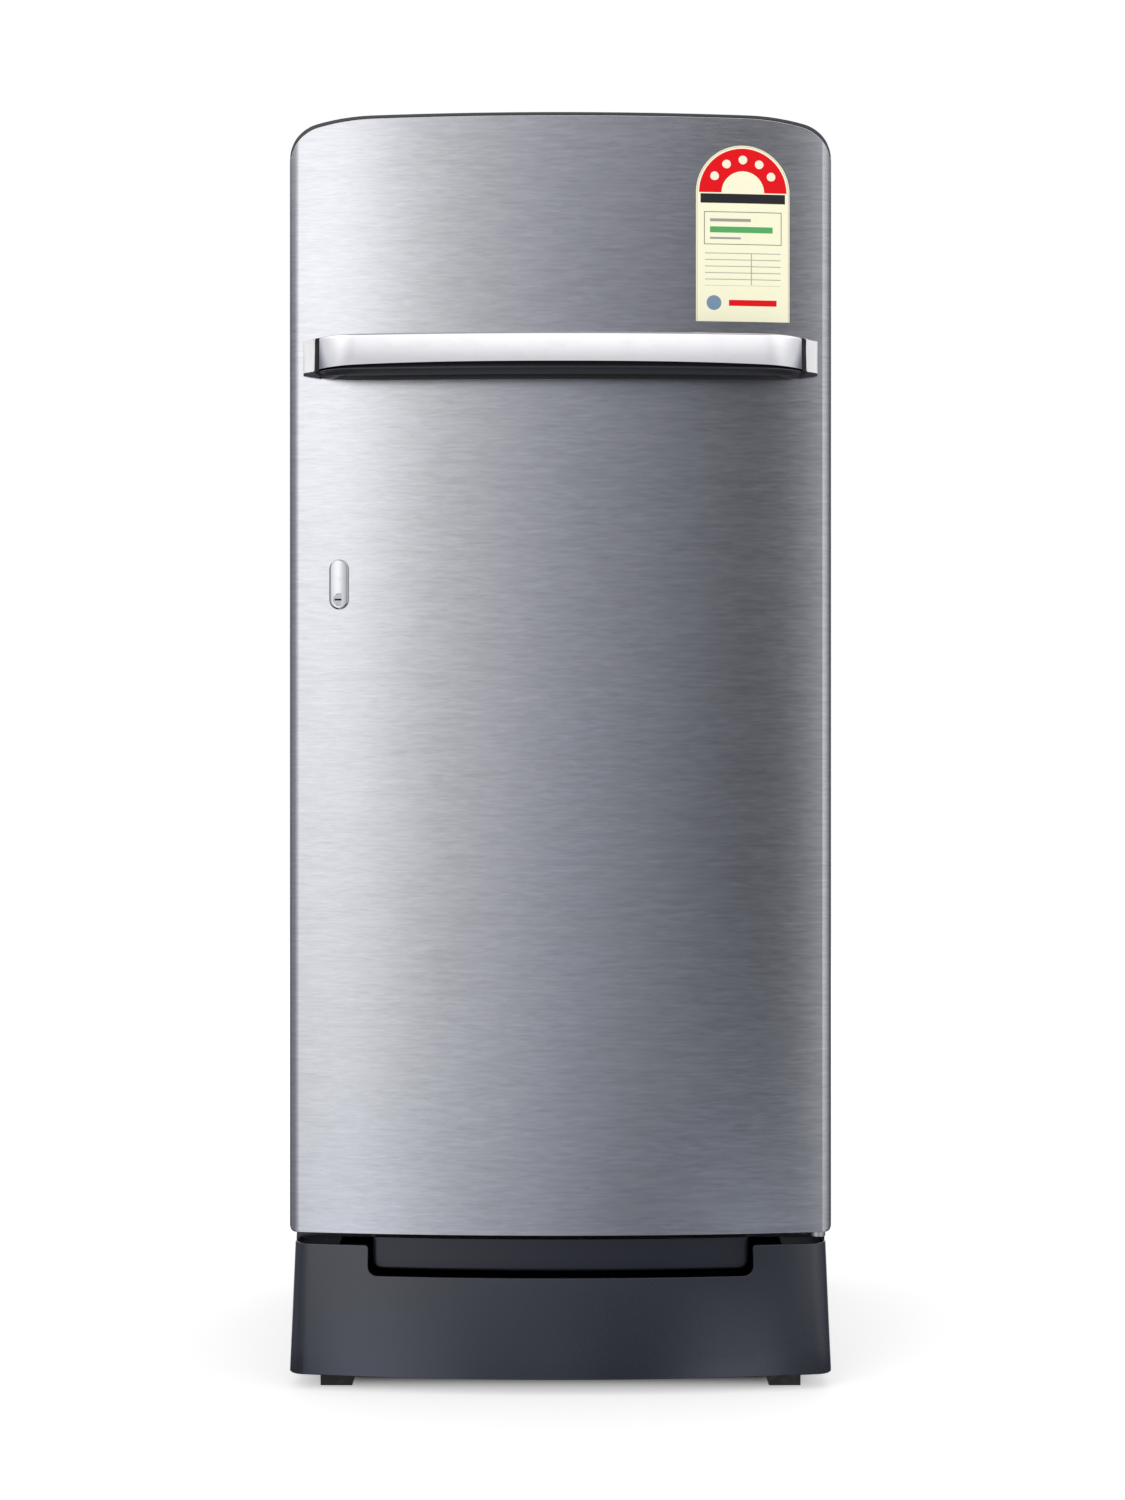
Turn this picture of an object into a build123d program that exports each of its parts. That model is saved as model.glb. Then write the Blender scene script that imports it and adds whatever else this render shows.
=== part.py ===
from build123d import *
import math
import os

# A single door refrigerator on a base stand with a pull-out drawer, in millimetres.
# +Z is up, the door faces -Y, and the origin is on the floor under the middle of the object.

# Door
DOOR_HALF = 272.5
DOOR_BOTTOM = 160.0
DOOR_TOP = 1277.3
DOOR_FACE_Y = -288.0
DOOR_BACK_Y = -222.0
DOOR_BOW_R = 1728.0
DOOR_EDGE_R = 12.0
DOOR_TOP_R = 38.0
SHOULDER_R = 240.0
SHOULDER_START = math.radians(0.5)
SHOULDER_END = math.radians(14.0)
DOOR_BOTTOM_R = 7.0
CAP_BAND = 2.5
BOTTOM_BAND = 2.0
TOP_CAP_LOW = DOOR_TOP - 38.0
LINER_HALF = 265.8
LINER_PANEL_Y = -216.0
LINER_PANEL_HALF = 205.0
RIB_INNER = 190.0
RIB_OUTER = 208.0
RIB_Y = -182.0
RIB_Z = (206.0, 950.0)

# Spans that pass through the door, and through its outer parts alone
THROUGH_DOOR = (-300.0, -200.0)
THROUGH_FACE = (-300.0, -250.0)

# Sheets and walls
STEEL = 0.8
PLASTIC = 1.2
GAP = 0.3
SAW_CUT = 0.1
POCKET_WALL = 2.0

# Door hinge
HINGE_X = 260.0
HINGE_Y = -243.0
HINGE_PIN_R = 4.0
HINGE_FIT = 0.05
HINGE_ARM_HALF = 8.0
HINGE_PLATE = 3.0
NOTCH_X = HINGE_X - 10.5
NOTCH_Y = -258.5
NOTCH_LOW = 1249.5
COLLAR_TOP = 158.5

# Handle
HANDLE_FACE_Y = -325.0
HANDLE_BOW_R = 1650.0
HANDLE_TURN_X = 200.0
HANDLE_END_R = 58.0
HANDLE_TOP = 1054.2
HANDLE_BAR_LOW = 1023.5
HANDLE_RIM_LOW = 1018.7
HANDLE_UNDER_LOW = 1010.9
BAND_INNER = 240.5
BAND_OUTER = 245.5
END_REACH = 257.5
END_TAB = 4.0
BAR_WALL = 2.5

# Lock
LOCK_X = -221.5
LOCK_Z = 793.2
LOCK_R = 5.75
ESCUTCHEON_HIGH = 50.0
ESCUTCHEON_WIDE = 19.5
ESCUTCHEON_PROUD = 3.0
CAM_Y = (-204.0, -201.0)
CAM_REACH = 15.0
STRIKE_Z = (LOCK_Z - 9.5, LOCK_Z + 18.5)
STRIKE_WALL = 1.5

# Efficiency label
LABEL_X = 182.0
LABEL_HALF = 47.0
LABEL_Z = (1070.4, 1246.0)
LABEL_THICK = 0.3

# Cabinet
CAB_HALF = 270.0
CAB_FRONT = -210.0
CAB_BACK = 285.0
CAB_LOW = 155.0
CAB_TOP = 1256.0
CAB_TOP_R = 8.0
CABIN_HALF = 228.0
CABIN_BACK = 232.0
CABIN_LOW = 198.0
CABIN_TOP = 1211.0
HUMP_FRONT = 58.0
HUMP_TOP = 398.0
BAY_FRONT = 103.0
BAY_TOP = 353.0

# Cabin fittings
SHELF_FRONT = -98.0
SHELF_BACK = 226.0
GLASS = 4.0
SHELF_HALF = 225.5
LOWER_SHELF_Z = 592.0
UPPER_SHELF_Z = 788.0
FREEZER_Z = (1058.0, 1205.0)
FREEZER_HALF = 200.0
FREEZER_FRONT = -93.0
FLAP_AXIS_Y = -107.0
FLAP_AXIS_Z = 1192.0
FLAP_HALF = 191.5
TRAY_Z = (988.0, 1041.0)
KNOB_Y = -25.0
KNOB_Z = 917.0
BOX_FACE_X = 186.0
PLUNGER_X = 221.0
PLUNGER_Z = 917.0

# Base stand and its drawer
STAND_LOW = 15.5
STAND_FRONT = -236.0
STAND_BACK = 279.0
STAND_WALL = 4.0
BASE_TOP = 147.4
BASE_HALF_TOP = 268.0
BASE_HALF_LOW = 273.7
BASE_FACE_Y = -284.0
BASE_BOW_R = 1480.0
BASE_CORNER_R = 18.0
FRONT_WALL = 3.0
CUTOUT_HALF = 192.5
CUTOUT_LOW = 116.7
CUTOUT_R = 10.0
RAIL_HALF = 188.0
RAIL_Z = (121.2, 151.8)
RAIL_SET_BACK = 19.0
FOOT_X = 225.4
FOOT_SIDE = 35.0

# Cooling circuit
COMPRESSOR_X = 70.0
COMPRESSOR_Y = 196.0
TUBE_R = 2.5
CONDENSER_Y = 306.0
CONDENSER_HALF = 205.0
CONDENSER_Z = (440.0, 1180.0)
CONDENSER_RUNS = 13
WIRE_R = 0.8
WIRE_PITCH = 20.0
SPACER_BACK = 325.0


def block(x, y, z):
    """A box between two limits along each axis."""
    middle = Pos((x[0] + x[1]) / 2, (y[0] + y[1]) / 2, (z[0] + z[1]) / 2)
    return middle * Box(x[1] - x[0], y[1] - y[0], z[1] - z[0])


def both_sides(x, y, z):
    """A box and its mirror image across the middle plane."""
    return block(x, y, z) + block((-x[1], -x[0]), y, z)


def stand_up(plan, z):
    """A plan outline raised between two heights."""
    return extrude(Pos(0, 0, z[0]) * plan, amount=z[1] - z[0])


def lay_back(elevation, y):
    """A front outline, drawn as x and z, carried through the depth."""
    return extrude(Plane.XZ.offset(-y[1]) * elevation, amount=y[1] - y[0])


def rod_x(radius, x, y, z):
    """A round bar along x."""
    return Pos((x[0] + x[1]) / 2, y, z) * Rot(0, 90, 0) * Cylinder(radius, x[1] - x[0])


def rod_y(radius, x, y, z):
    """A round bar along y."""
    return Pos(x, (y[0] + y[1]) / 2, z) * Rot(90, 0, 0) * Cylinder(radius, y[1] - y[0])


def rod_z(radius, x, y, z):
    """A round bar along z."""
    return Pos(x, y, (z[0] + z[1]) / 2) * Cylinder(radius, z[1] - z[0])


def bowed_plan(half, face_y, back_y, bow_r, corner_r):
    """A plan with a bowed front and two rounded front corners."""
    side_y = face_y + bow_r - math.sqrt(bow_r**2 - half**2)
    front = ThreePointArc((-half, side_y), (0, face_y), (half, side_y))
    rest = Polyline((half, side_y), (half, back_y), (-half, back_y), (-half, side_y))
    plan = make_face(front + rest)
    return fillet(plan.vertices().group_by(Axis.Y)[0], corner_r)


def front_outline(half, low, high, low_r, high_r):
    """A front outline with rounded lower and upper corners."""
    sheet = Pos(0, (low + high) / 2) * Rectangle(2 * half, high - low)
    sheet = fillet(sheet.vertices().group_by(Axis.Y)[-1], high_r)
    return fillet(sheet.vertices().group_by(Axis.Y)[0], low_r)


def crowned_outline(half, low, high, low_r, corner_r):
    """A front outline whose upper edge is, on each side, three arcs that touch: crown, shoulder, corner."""
    corner_x = half - corner_r
    shoulder_x = corner_x + (corner_r - SHOULDER_R) * math.sin(SHOULDER_END)
    crown_r = SHOULDER_R + shoulder_x / math.sin(SHOULDER_START)
    shoulder_z = high - crown_r + (crown_r - SHOULDER_R) * math.cos(SHOULDER_START)
    corner_z = shoulder_z + (SHOULDER_R - corner_r) * math.cos(SHOULDER_END)

    def on_arc(side, centre_x, centre_z, radius, angle):
        return (side * (centre_x + radius * math.sin(angle)), centre_z + radius * math.cos(angle))

    ends = [on_arc(side, shoulder_x, shoulder_z, SHOULDER_R, SHOULDER_START) for side in (-1, 1)]
    edges = [ThreePointArc(ends[0], (0, high), ends[1])]
    shoulder_mid = (SHOULDER_START + SHOULDER_END) / 2
    corner_mid = (SHOULDER_END + math.pi / 2) / 2
    for side, end in zip((-1, 1), ends):
        meet = on_arc(side, corner_x, corner_z, corner_r, SHOULDER_END)
        middle = on_arc(side, shoulder_x, shoulder_z, SHOULDER_R, shoulder_mid)
        edges.append(ThreePointArc(end, middle, meet))
        middle = on_arc(side, corner_x, corner_z, corner_r, corner_mid)
        edges.append(ThreePointArc(meet, middle, (side * half, corner_z)))
    edges.append(Polyline((half, corner_z), (half, low), (-half, low), (-half, corner_z)))
    sheet = make_face(Curve() + edges)
    return fillet(sheet.vertices().group_by(Axis.Y)[0], low_r)


def door_plan(inset, back_y=DOOR_BACK_Y):
    """The door's plan, inset evenly from its outer face."""
    return bowed_plan(
        DOOR_HALF - inset,
        DOOR_FACE_Y + inset,
        back_y,
        DOOR_BOW_R - inset,
        DOOR_EDGE_R - inset,
    )


def door_outline():
    """The door's front outline."""
    return crowned_outline(DOOR_HALF, DOOR_BOTTOM, DOOR_TOP, DOOR_BOTTOM_R, DOOR_TOP_R)


def door_hinge_notch(grown=0.0):
    """Room in the door's top corner for the hinge arm as the door swings."""
    x = (NOTCH_X - grown, DOOR_HALF + 5)
    return block(x, (NOTCH_Y - grown, DOOR_BACK_Y + 5), (NOTCH_LOW - grown, DOOR_TOP + 5))


def hinge_bores():
    """Bores for the two bushes, at the top and the bottom of the door."""
    top = rod_z(8.0, HINGE_X, HINGE_Y, (1229.0, DOOR_TOP))
    bottom = rod_z(8.0, HINGE_X, HINGE_Y, (DOOR_BOTTOM - 1, 183.0))
    return top + bottom


def top_cap_band():
    """The band over the top edge: thickest on the flat, thinner down the round corners."""
    inner = crowned_outline(DOOR_HALF, DOOR_BOTTOM, DOOR_TOP - CAP_BAND, 1.0, DOOR_TOP_R + CAP_BAND)
    band = door_outline() - inner
    band &= Pos(0, TOP_CAP_LOW + 50) * Rectangle(2 * DOOR_HALF + 10, 100)
    return band


def door_skin():
    """Bent steel face and sides with a narrow return at the back."""
    shell = door_plan(0) - door_plan(STEEL, DOOR_BACK_Y - STEEL)
    shell -= Pos(0, DOOR_BACK_Y) * Rectangle(2 * LINER_HALF + 0.4, 4)
    sheet = door_outline() - top_cap_band()
    sheet &= Pos(0, 1000 + DOOR_BOTTOM + BOTTOM_BAND) * Rectangle(2 * DOOR_HALF + 10, 2000)
    skin = stand_up(shell, (DOOR_BOTTOM - 5, DOOR_TOP + 5)) & lay_back(sheet, THROUGH_DOOR)
    return skin - rod_y(LOCK_R + 0.6, LOCK_X, THROUGH_FACE, LOCK_Z) - door_hinge_notch()


def notch_lining():
    """Wall of the pocket in the top cap for the hinge arm, inside the steel and the liner."""
    room = door_plan(STEEL + GAP, DOOR_BACK_Y - PLASTIC - GAP)
    inside = stand_up(room, (NOTCH_LOW - POCKET_WALL, DOOR_TOP))
    high = DOOR_TOP - CAP_BAND + 0.5
    sheet = crowned_outline(DOOR_HALF, DOOR_BOTTOM, high, 6.0, DOOR_TOP_R + CAP_BAND - 0.5)
    return inside & lay_back(sheet, THROUGH_DOOR) & door_hinge_notch(POCKET_WALL)


def door_top_cap():
    """Plastic closure of the skin's upper edge, with a lined pocket for the hinge arm."""
    cap = stand_up(door_plan(0), (TOP_CAP_LOW - 5, DOOR_TOP + 5))
    cap &= lay_back(top_cap_band(), THROUGH_DOOR)
    cap += notch_lining()
    return cap - door_hinge_notch() - hinge_bores()


def door_bottom_cap():
    """Plastic closure of the skin's lower edge, bored for the hinge bush."""
    sheet = door_outline()
    sheet &= Pos(0, DOOR_BOTTOM + BOTTOM_BAND / 2) * Rectangle(2 * DOOR_HALF + 10, BOTTOM_BAND)
    cap = stand_up(door_plan(0), (DOOR_BOTTOM - 5, DOOR_BOTTOM + 5))
    return (cap & lay_back(sheet, THROUGH_DOOR)) - hinge_bores()


def liner_bulge(inset, back_y):
    """The raised panel and the two rack ribs of the door's inner side."""
    panel_half = LINER_PANEL_HALF - inset
    low = 199.0 + inset
    high = 1216.0 - inset
    panel = lay_back(front_outline(panel_half, low, high, 12.0, 12.0), (back_y, LINER_PANEL_Y - inset))
    for side in (-1, 1):
        middle = side * (RIB_INNER + RIB_OUTER) / 2
        half = (RIB_OUTER - RIB_INNER) / 2 - inset
        rib = front_outline(half, RIB_Z[0] + inset, RIB_Z[1] - inset, half * 0.6, half * 0.6)
        panel += Pos(middle, 0, 0) * lay_back(rib, (back_y, RIB_Y - inset))
    return panel


def door_liner():
    """Moulded inner panel of the door."""
    corner_r = DOOR_TOP_R - (DOOR_HALF - LINER_HALF)
    flat = crowned_outline(LINER_HALF, DOOR_BOTTOM + 2.3, DOOR_TOP - CAP_BAND - GAP, 5.0, corner_r)
    liner = lay_back(flat, (DOOR_BACK_Y - PLASTIC, DOOR_BACK_Y))
    liner += liner_bulge(0, DOOR_BACK_Y - PLASTIC)
    liner -= liner_bulge(PLASTIC, DOOR_BACK_Y - 10)
    liner -= rod_y(LOCK_R + 0.6, LOCK_X, THROUGH_DOOR, LOCK_Z)
    return liner - door_hinge_notch()


def door_foam():
    """Insulation core that fills the door."""
    core = stand_up(door_plan(STEEL, DOOR_BACK_Y - PLASTIC), (DOOR_BOTTOM + BOTTOM_BAND, DOOR_TOP))
    high = DOOR_TOP - CAP_BAND - GAP
    sheet = crowned_outline(DOOR_HALF, DOOR_BOTTOM + BOTTOM_BAND, high, 6.0, DOOR_TOP_R + CAP_BAND)
    core &= lay_back(sheet, THROUGH_DOOR)
    core += liner_bulge(PLASTIC + 0.05, DOOR_BACK_Y - 5)
    core -= rod_y(LOCK_R + 1.0, LOCK_X, THROUGH_DOOR, LOCK_Z)
    return core - door_hinge_notch(POCKET_WALL + GAP) - hinge_bores()


def door_gasket():
    """Magnetic seal: a wide foot with a narrower soft bead that meets the cabinet."""
    foot = front_outline(258.0, 172.0, 1246.0, 8.0, 14.0)
    foot -= front_outline(240.0, 190.0, 1228.0, 3.0, 3.0)
    bead = front_outline(256.0, 174.0, 1244.0, 7.0, 12.0)
    bead -= front_outline(242.5, 187.5, 1230.5, 3.0, 3.0)
    seal = lay_back(foot, (DOOR_BACK_Y, DOOR_BACK_Y + 3.0))
    return seal + lay_back(bead, (DOOR_BACK_Y + 3.0, CAB_FRONT - 0.4))


def door_hinge_bushes():
    """Plain bearings in the door for the two hinge pins."""
    top = rod_z(8.0, HINGE_X, HINGE_Y, (1229.0, NOTCH_LOW))
    bottom = rod_z(8.0, HINGE_X, HINGE_Y, (COLLAR_TOP + GAP, 183.0))
    bushes = top + bottom
    bore = rod_z(HINGE_PIN_R + HINGE_FIT, HINGE_X, HINGE_Y, (1232.0, NOTCH_LOW + 1))
    bore += rod_z(HINGE_PIN_R + HINGE_FIT, HINGE_X, HINGE_Y, (COLLAR_TOP - 1, 180.0))
    return bushes - bore


def handle_plan(inset):
    """Plan of the handle: a wide bow that turns back to the door in an arc at each end."""
    bow_y = HANDLE_FACE_Y + HANDLE_BOW_R
    turn = math.asin(HANDLE_TURN_X / HANDLE_BOW_R)
    end_x = (HANDLE_BOW_R - HANDLE_END_R) * math.sin(turn)
    end_y = bow_y - (HANDLE_BOW_R - HANDLE_END_R) * math.cos(turn)
    bow_r = HANDLE_BOW_R - inset
    end_r = HANDLE_END_R - inset
    meet = (bow_r * math.sin(turn), bow_y - bow_r * math.cos(turn))
    half_turn = (math.pi / 2 - turn) / 2
    mid = (end_x + end_r * math.cos(half_turn), end_y - end_r * math.sin(half_turn))
    tip = (end_x + end_r, end_y)
    bow = ThreePointArc((-meet[0], meet[1]), (0, HANDLE_FACE_Y + inset), meet)
    right = ThreePointArc(meet, mid, tip)
    left = ThreePointArc((-meet[0], meet[1]), (-mid[0], mid[1]), (-tip[0], tip[1]))
    back = Line(tip, (-tip[0], tip[1]))
    return make_face(Curve() + [bow, right, back, left]) - door_plan(0)


def across(x, y=(-400, -200)):
    """A strip of plan between two distances from the middle, on both sides when x starts above 0."""
    width = x[1] - x[0]
    middle_y = (y[0] + y[1]) / 2
    strip = Pos((x[0] + x[1]) / 2, middle_y) * Rectangle(width, y[1] - y[0])
    if x[0] > 0:
        strip += Pos(-(x[0] + x[1]) / 2, middle_y) * Rectangle(width, y[1] - y[0])
    return strip


def handle_bar():
    """Chrome bar: a bowed front wall with a closed top."""
    middle = across((-BAND_INNER, BAND_INNER))
    solid = stand_up(handle_plan(0) & middle, (HANDLE_BAR_LOW, HANDLE_TOP))
    hollow = handle_plan(BAR_WALL) & across((-BAND_INNER - 1, BAND_INNER + 1))
    return solid - stand_up(hollow, (HANDLE_BAR_LOW - 1, HANDLE_TOP - BAR_WALL))


def handle_under_cut():
    """Everything below the handle's underside, which falls from its rim to the door."""
    slope = (HANDLE_RIM_LOW - HANDLE_UNDER_LOW) / (DOOR_FACE_Y - HANDLE_FACE_Y)
    front_y = HANDLE_FACE_Y - 20
    back_y = DOOR_FACE_Y + 40
    front_z = HANDLE_RIM_LOW - slope * (front_y - HANDLE_FACE_Y)
    back_z = HANDLE_RIM_LOW - slope * (back_y - HANDLE_FACE_Y)
    low = HANDLE_UNDER_LOW - 50
    corners = [(front_y, front_z), (back_y, back_z), (back_y, low), (front_y, low)]
    side = make_face(Polyline(*corners, close=True))
    return extrude(Plane.YZ.offset(-300) * side, amount=600)


def handle_grip():
    """Dark body behind the bar, open from below for the fingers."""
    body = stand_up(
        handle_plan(BAR_WALL) & across((-BAND_INNER, BAND_INNER)), (1000, HANDLE_TOP - BAR_WALL)
    )
    body -= handle_under_cut()
    pocket = handle_plan(BAR_WALL + 3.5) - door_plan(-4.0)
    pocket &= across((-205, 205))
    return body - stand_up(pocket, (990, 1047))


def handle_bands():
    """Narrow black bands between the bar and its ends."""
    band = handle_plan(0.6) & across((BAND_INNER, BAND_OUTER))
    return stand_up(band, (HANDLE_RIM_LOW, HANDLE_TOP - 0.8))


def handle_end_caps():
    """Chrome ends, each with a low tab along the door."""
    plan = handle_plan(0) & across((BAND_OUTER, 300))
    plan += (door_plan(-END_TAB) - door_plan(0)) & across((BAND_OUTER, END_REACH))
    return stand_up(plan, (HANDLE_RIM_LOW + 0.3, HANDLE_TOP - 0.6))


def lock_escutcheon():
    """Upright plate with round ends that follows the door's bow, bored for the lock."""
    slot = Pos(LOCK_X, LOCK_Z + (ESCUTCHEON_HIGH - ESCUTCHEON_WIDE) / 2) * Rot(0, 0, 90)
    outline = slot * SlotOverall(ESCUTCHEON_HIGH, ESCUTCHEON_WIDE)
    plate = lay_back(outline, THROUGH_FACE)
    plate &= stand_up(door_plan(-ESCUTCHEON_PROUD) - door_plan(0), (700, 900))
    return plate - rod_y(LOCK_R + 0.05, LOCK_X, THROUGH_FACE, LOCK_Z)


def lock_cylinder():
    """Turning core of the lock, with its keyway and its shaft through the door."""
    core = rod_y(LOCK_R, LOCK_X, (-276.6, -216.0), LOCK_Z)
    core += rod_y(3.5, LOCK_X, (-216.0, CAM_Y[0]), LOCK_Z)
    return core - block((LOCK_X - 4.2, LOCK_X + 4.2), (-280, -266), (LOCK_Z - 0.7, LOCK_Z + 0.7))


def lock_cam():
    """Tongue on the lock's shaft, which stands up when the door is free."""
    tongue = rod_y(4.0, LOCK_X, CAM_Y, LOCK_Z)
    tongue += block((LOCK_X - 3.5, LOCK_X + 3.5), CAM_Y, (LOCK_Z, LOCK_Z + CAM_REACH))
    return tongue


def lock_strike():
    """Cup in the cabin's side wall that the cam turns into."""
    outer = block((-248.0, -CABIN_HALF), (-208.0, -193.0), STRIKE_Z)
    room_z = (STRIKE_Z[0] + STRIKE_WALL, STRIKE_Z[1] - STRIKE_WALL)
    return outer - block((-248.0 + STRIKE_WALL, -CABIN_HALF + 1), (-206.5, -194.5), room_z)


def strike_pocket():
    """Room for the strike cup in the wall."""
    return block((-248.0, -CABIN_HALF + 20), (-208.0, -193.0), STRIKE_Z)


def efficiency_label():
    """Thin arch-topped sticker on the door's face."""
    arch_z = LABEL_Z[1] - LABEL_HALF
    sheet = Pos(LABEL_X, (LABEL_Z[0] + arch_z) / 2) * Rectangle(2 * LABEL_HALF, arch_z - LABEL_Z[0])
    sheet += Pos(LABEL_X, arch_z) * Circle(LABEL_HALF)
    return lay_back(sheet, THROUGH_FACE) & stand_up(door_plan(-LABEL_THICK) - door_plan(0), (1050, 1260))


def rack(low, high, depth):
    """An open-topped rack that hangs between the ribs of the door."""
    front_y = LINER_PANEL_Y + depth
    wall = 2.5

    def tub(inset, z):
        middle_y = (LINER_PANEL_Y + front_y) / 2
        plan = Pos(0, middle_y) * Rectangle(2 * (RIB_INNER - inset), depth - 2 * inset)
        plan = fillet(plan.vertices().group_by(Axis.Y)[-1], 18.0 - inset)
        return stand_up(plan, z)

    return tub(0, (low, high)) - tub(wall, (low + wall, high + 1))


def door_bins():
    """Two equal racks, one high and one in the middle of the door."""
    return rack(826.0, 900.0, 84.0) + rack(560.0, 640.0, 84.0)


def bottle_bin():
    """Deep lowest rack."""
    return rack(222.0, 340.0, 84.0)


def egg_rack():
    """Tray with six round seats and side skirts, standing in the upper rack."""
    y = (-209.0, -139.0)
    tray = block((-150, 150), y, (868.0, 871.0))
    tray += block((-150, -147.5), y, (828.5, 868.0)) + block((147.5, 150), y, (828.5, 868.0))
    for seat in range(6):
        tray -= rod_z(18.5, -120 + 48 * seat, sum(y) / 2, (860, 880))
    return tray


def cabinet_outline(inset):
    """Front outline of the cabinet's outer wrap."""
    return front_outline(CAB_HALF - inset, CAB_LOW - 5, CAB_TOP - inset, 1.0, CAB_TOP_R - inset)


def cabinet_shell():
    """Steel wrap over both sides and the top, with a return all round the front."""
    above = Pos(0, CAB_LOW + 1000) * Rectangle(1000, 2000)
    wrap = (cabinet_outline(0) - cabinet_outline(STEEL)) & above
    shell = lay_back(wrap, (CAB_FRONT, CAB_BACK))
    frame = (cabinet_outline(0) & above) - front_outline(
        CABIN_HALF + 3.5, CABIN_LOW - 3.5, CABIN_TOP + 3.5, 6.0, 6.0
    )
    return shell + lay_back(frame, (CAB_FRONT, CAB_FRONT + STEEL))


def rear_panel():
    """Flat steel sheet over the back, above the machine bay."""
    outline = cabinet_outline(STEEL) & (Pos(0, BAY_TOP + 1000) * Rectangle(1000, 2000))
    return lay_back(outline, (CAB_BACK - STEEL, CAB_BACK))


def compressor_deck():
    """Stepped sheet: cabinet floor, front wall and roof of the machine bay."""
    half = CAB_HALF - STEEL
    front = CAB_FRONT + STEEL
    deck = block((-half, half), (front, BAY_FRONT + 1), (CAB_LOW, CAB_LOW + 1))
    deck += block((-half, half), (BAY_FRONT, BAY_FRONT + 1), (CAB_LOW, BAY_TOP))
    return deck + block((-half, half), (BAY_FRONT, CAB_BACK), (BAY_TOP - 1, BAY_TOP))


def cabin_room(inset, front_y):
    """The cabin's space, stepped over the machine bay."""

    def room(back_y, z):
        plan = Pos(0, (front_y + back_y) / 2) * Rectangle(2 * (CABIN_HALF - inset), back_y - front_y)
        plan = fillet(plan.vertices().group_by(Axis.Y)[-1], 20.0 - inset)
        return stand_up(plan, z)

    upper = room(CABIN_BACK - inset, (HUMP_TOP + inset, CABIN_TOP - inset))
    lower = room(HUMP_FRONT - inset, (CABIN_LOW + inset, HUMP_TOP + inset + 1))
    return upper + lower


def liner_lip():
    """Flange of the liner behind the cabinet's front return."""
    lip = front_outline(CABIN_HALF + 12, CABIN_LOW - 12, CABIN_TOP + 12, 8.0, 8.0)
    lip -= front_outline(CABIN_HALF + 0.5, CABIN_LOW - 0.5, CABIN_TOP + 0.5, 0.5, 0.5)
    return lay_back(lip, (CAB_FRONT + STEEL, CAB_FRONT + STEEL + PLASTIC))


def inner_liner():
    """Moulded cabin with a ledge under each shelf."""
    liner = cabin_room(-PLASTIC, CAB_FRONT) + liner_lip()
    liner -= cabin_room(0, CAB_FRONT - 5)
    for top, back_y in ((HUMP_TOP, HUMP_FRONT - 20), (LOWER_SHELF_Z, 200), (UPPER_SHELF_Z, 200)):
        liner += both_sides((CABIN_HALF - 8, CABIN_HALF + 0.5), (SHELF_FRONT, back_y), (top - 6, top))
    return liner - strike_pocket()


def foam_slabs():
    """Blocks that cut the foam into nearly flat slabs, a hair apart."""
    side = CABIN_HALF + PLASTIC
    roof = CABIN_TOP + PLASTIC
    step = HUMP_TOP - PLASTIC
    floor = CABIN_LOW - PLASTIC
    y = (CAB_FRONT, CAB_BACK)
    front_y = (CAB_FRONT, BAY_FRONT)
    middle = (SAW_CUT - side, side - SAW_CUT)
    slabs = [
        block(middle, y, (roof, CAB_TOP)),
        block(middle, y, (step, roof - SAW_CUT)),
        block(middle, front_y, (floor, step - SAW_CUT)),
        block(middle, (BAY_FRONT + SAW_CUT, CAB_BACK), (BAY_TOP, step - SAW_CUT)),
        block(middle, front_y, (CAB_LOW, floor - SAW_CUT)),
    ]
    for x in ((-CAB_HALF, -side), (side, CAB_HALF)):
        slabs.append(block(x, y, (BAY_TOP, CAB_TOP)))
        slabs.append(block(x, front_y, (CAB_LOW, BAY_TOP - SAW_CUT)))
    return slabs


def insulation_foam():
    """Foam between the outer sheets and the liner, cut into slabs."""
    outline = cabinet_outline(STEEL)
    outline &= Pos(0, CAB_LOW + 1 + 1000) * Rectangle(1000, 2000)
    foam = lay_back(outline, (CAB_FRONT + STEEL, CAB_BACK - STEEL))
    foam -= block((-300, 300), (BAY_FRONT, 300), (100, BAY_TOP))
    foam -= cabin_room(-PLASTIC, CAB_FRONT - 5)
    foam -= liner_lip() + strike_pocket()
    return Part() + [foam & slab for slab in foam_slabs()]


def top_hinge_bracket():
    """Plate on the cabinet's top with an arm and a pin that hangs into the door."""
    z = (CAB_TOP, CAB_TOP + HINGE_PLATE)
    plate = block((206, 268), (-196, -128), z)
    plate += block((HINGE_X - HINGE_ARM_HALF, HINGE_X + HINGE_ARM_HALF), (HINGE_Y, -190), z)
    plate += rod_z(HINGE_ARM_HALF, HINGE_X, HINGE_Y, z)
    plate += rod_z(HINGE_PIN_R, HINGE_X, HINGE_Y, (1234.0, CAB_TOP + 1))
    return plate - hinge_screw_shanks(GAP)


def bottom_hinge_bracket():
    """Plate under the cabinet with an arm, a collar and a pin that carries the door."""
    z = (CAB_LOW - HINGE_PLATE, CAB_LOW)
    plate = block((243, 268.5), (-206, -122), z)
    plate += block((HINGE_X - HINGE_ARM_HALF, HINGE_X + HINGE_ARM_HALF), (HINGE_Y, -200), z)
    plate += rod_z(HINGE_ARM_HALF, HINGE_X, HINGE_Y, (z[0], COLLAR_TOP))
    plate += rod_z(HINGE_PIN_R, HINGE_X, HINGE_Y, (CAB_LOW, 178.0))
    return plate - hinge_screw_shanks(GAP)


def hinge_screw_places():
    """Head and shank levels of each hinge screw: three above the cabinet and two below."""
    top = CAB_TOP + HINGE_PLATE
    low = CAB_LOW - HINGE_PLATE
    places = [(x, y, top, 1) for x, y in ((218, -184), (218, -140), (256, -140))]
    return places + [(256, y, low, -1) for y in (-190, -136)]


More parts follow.
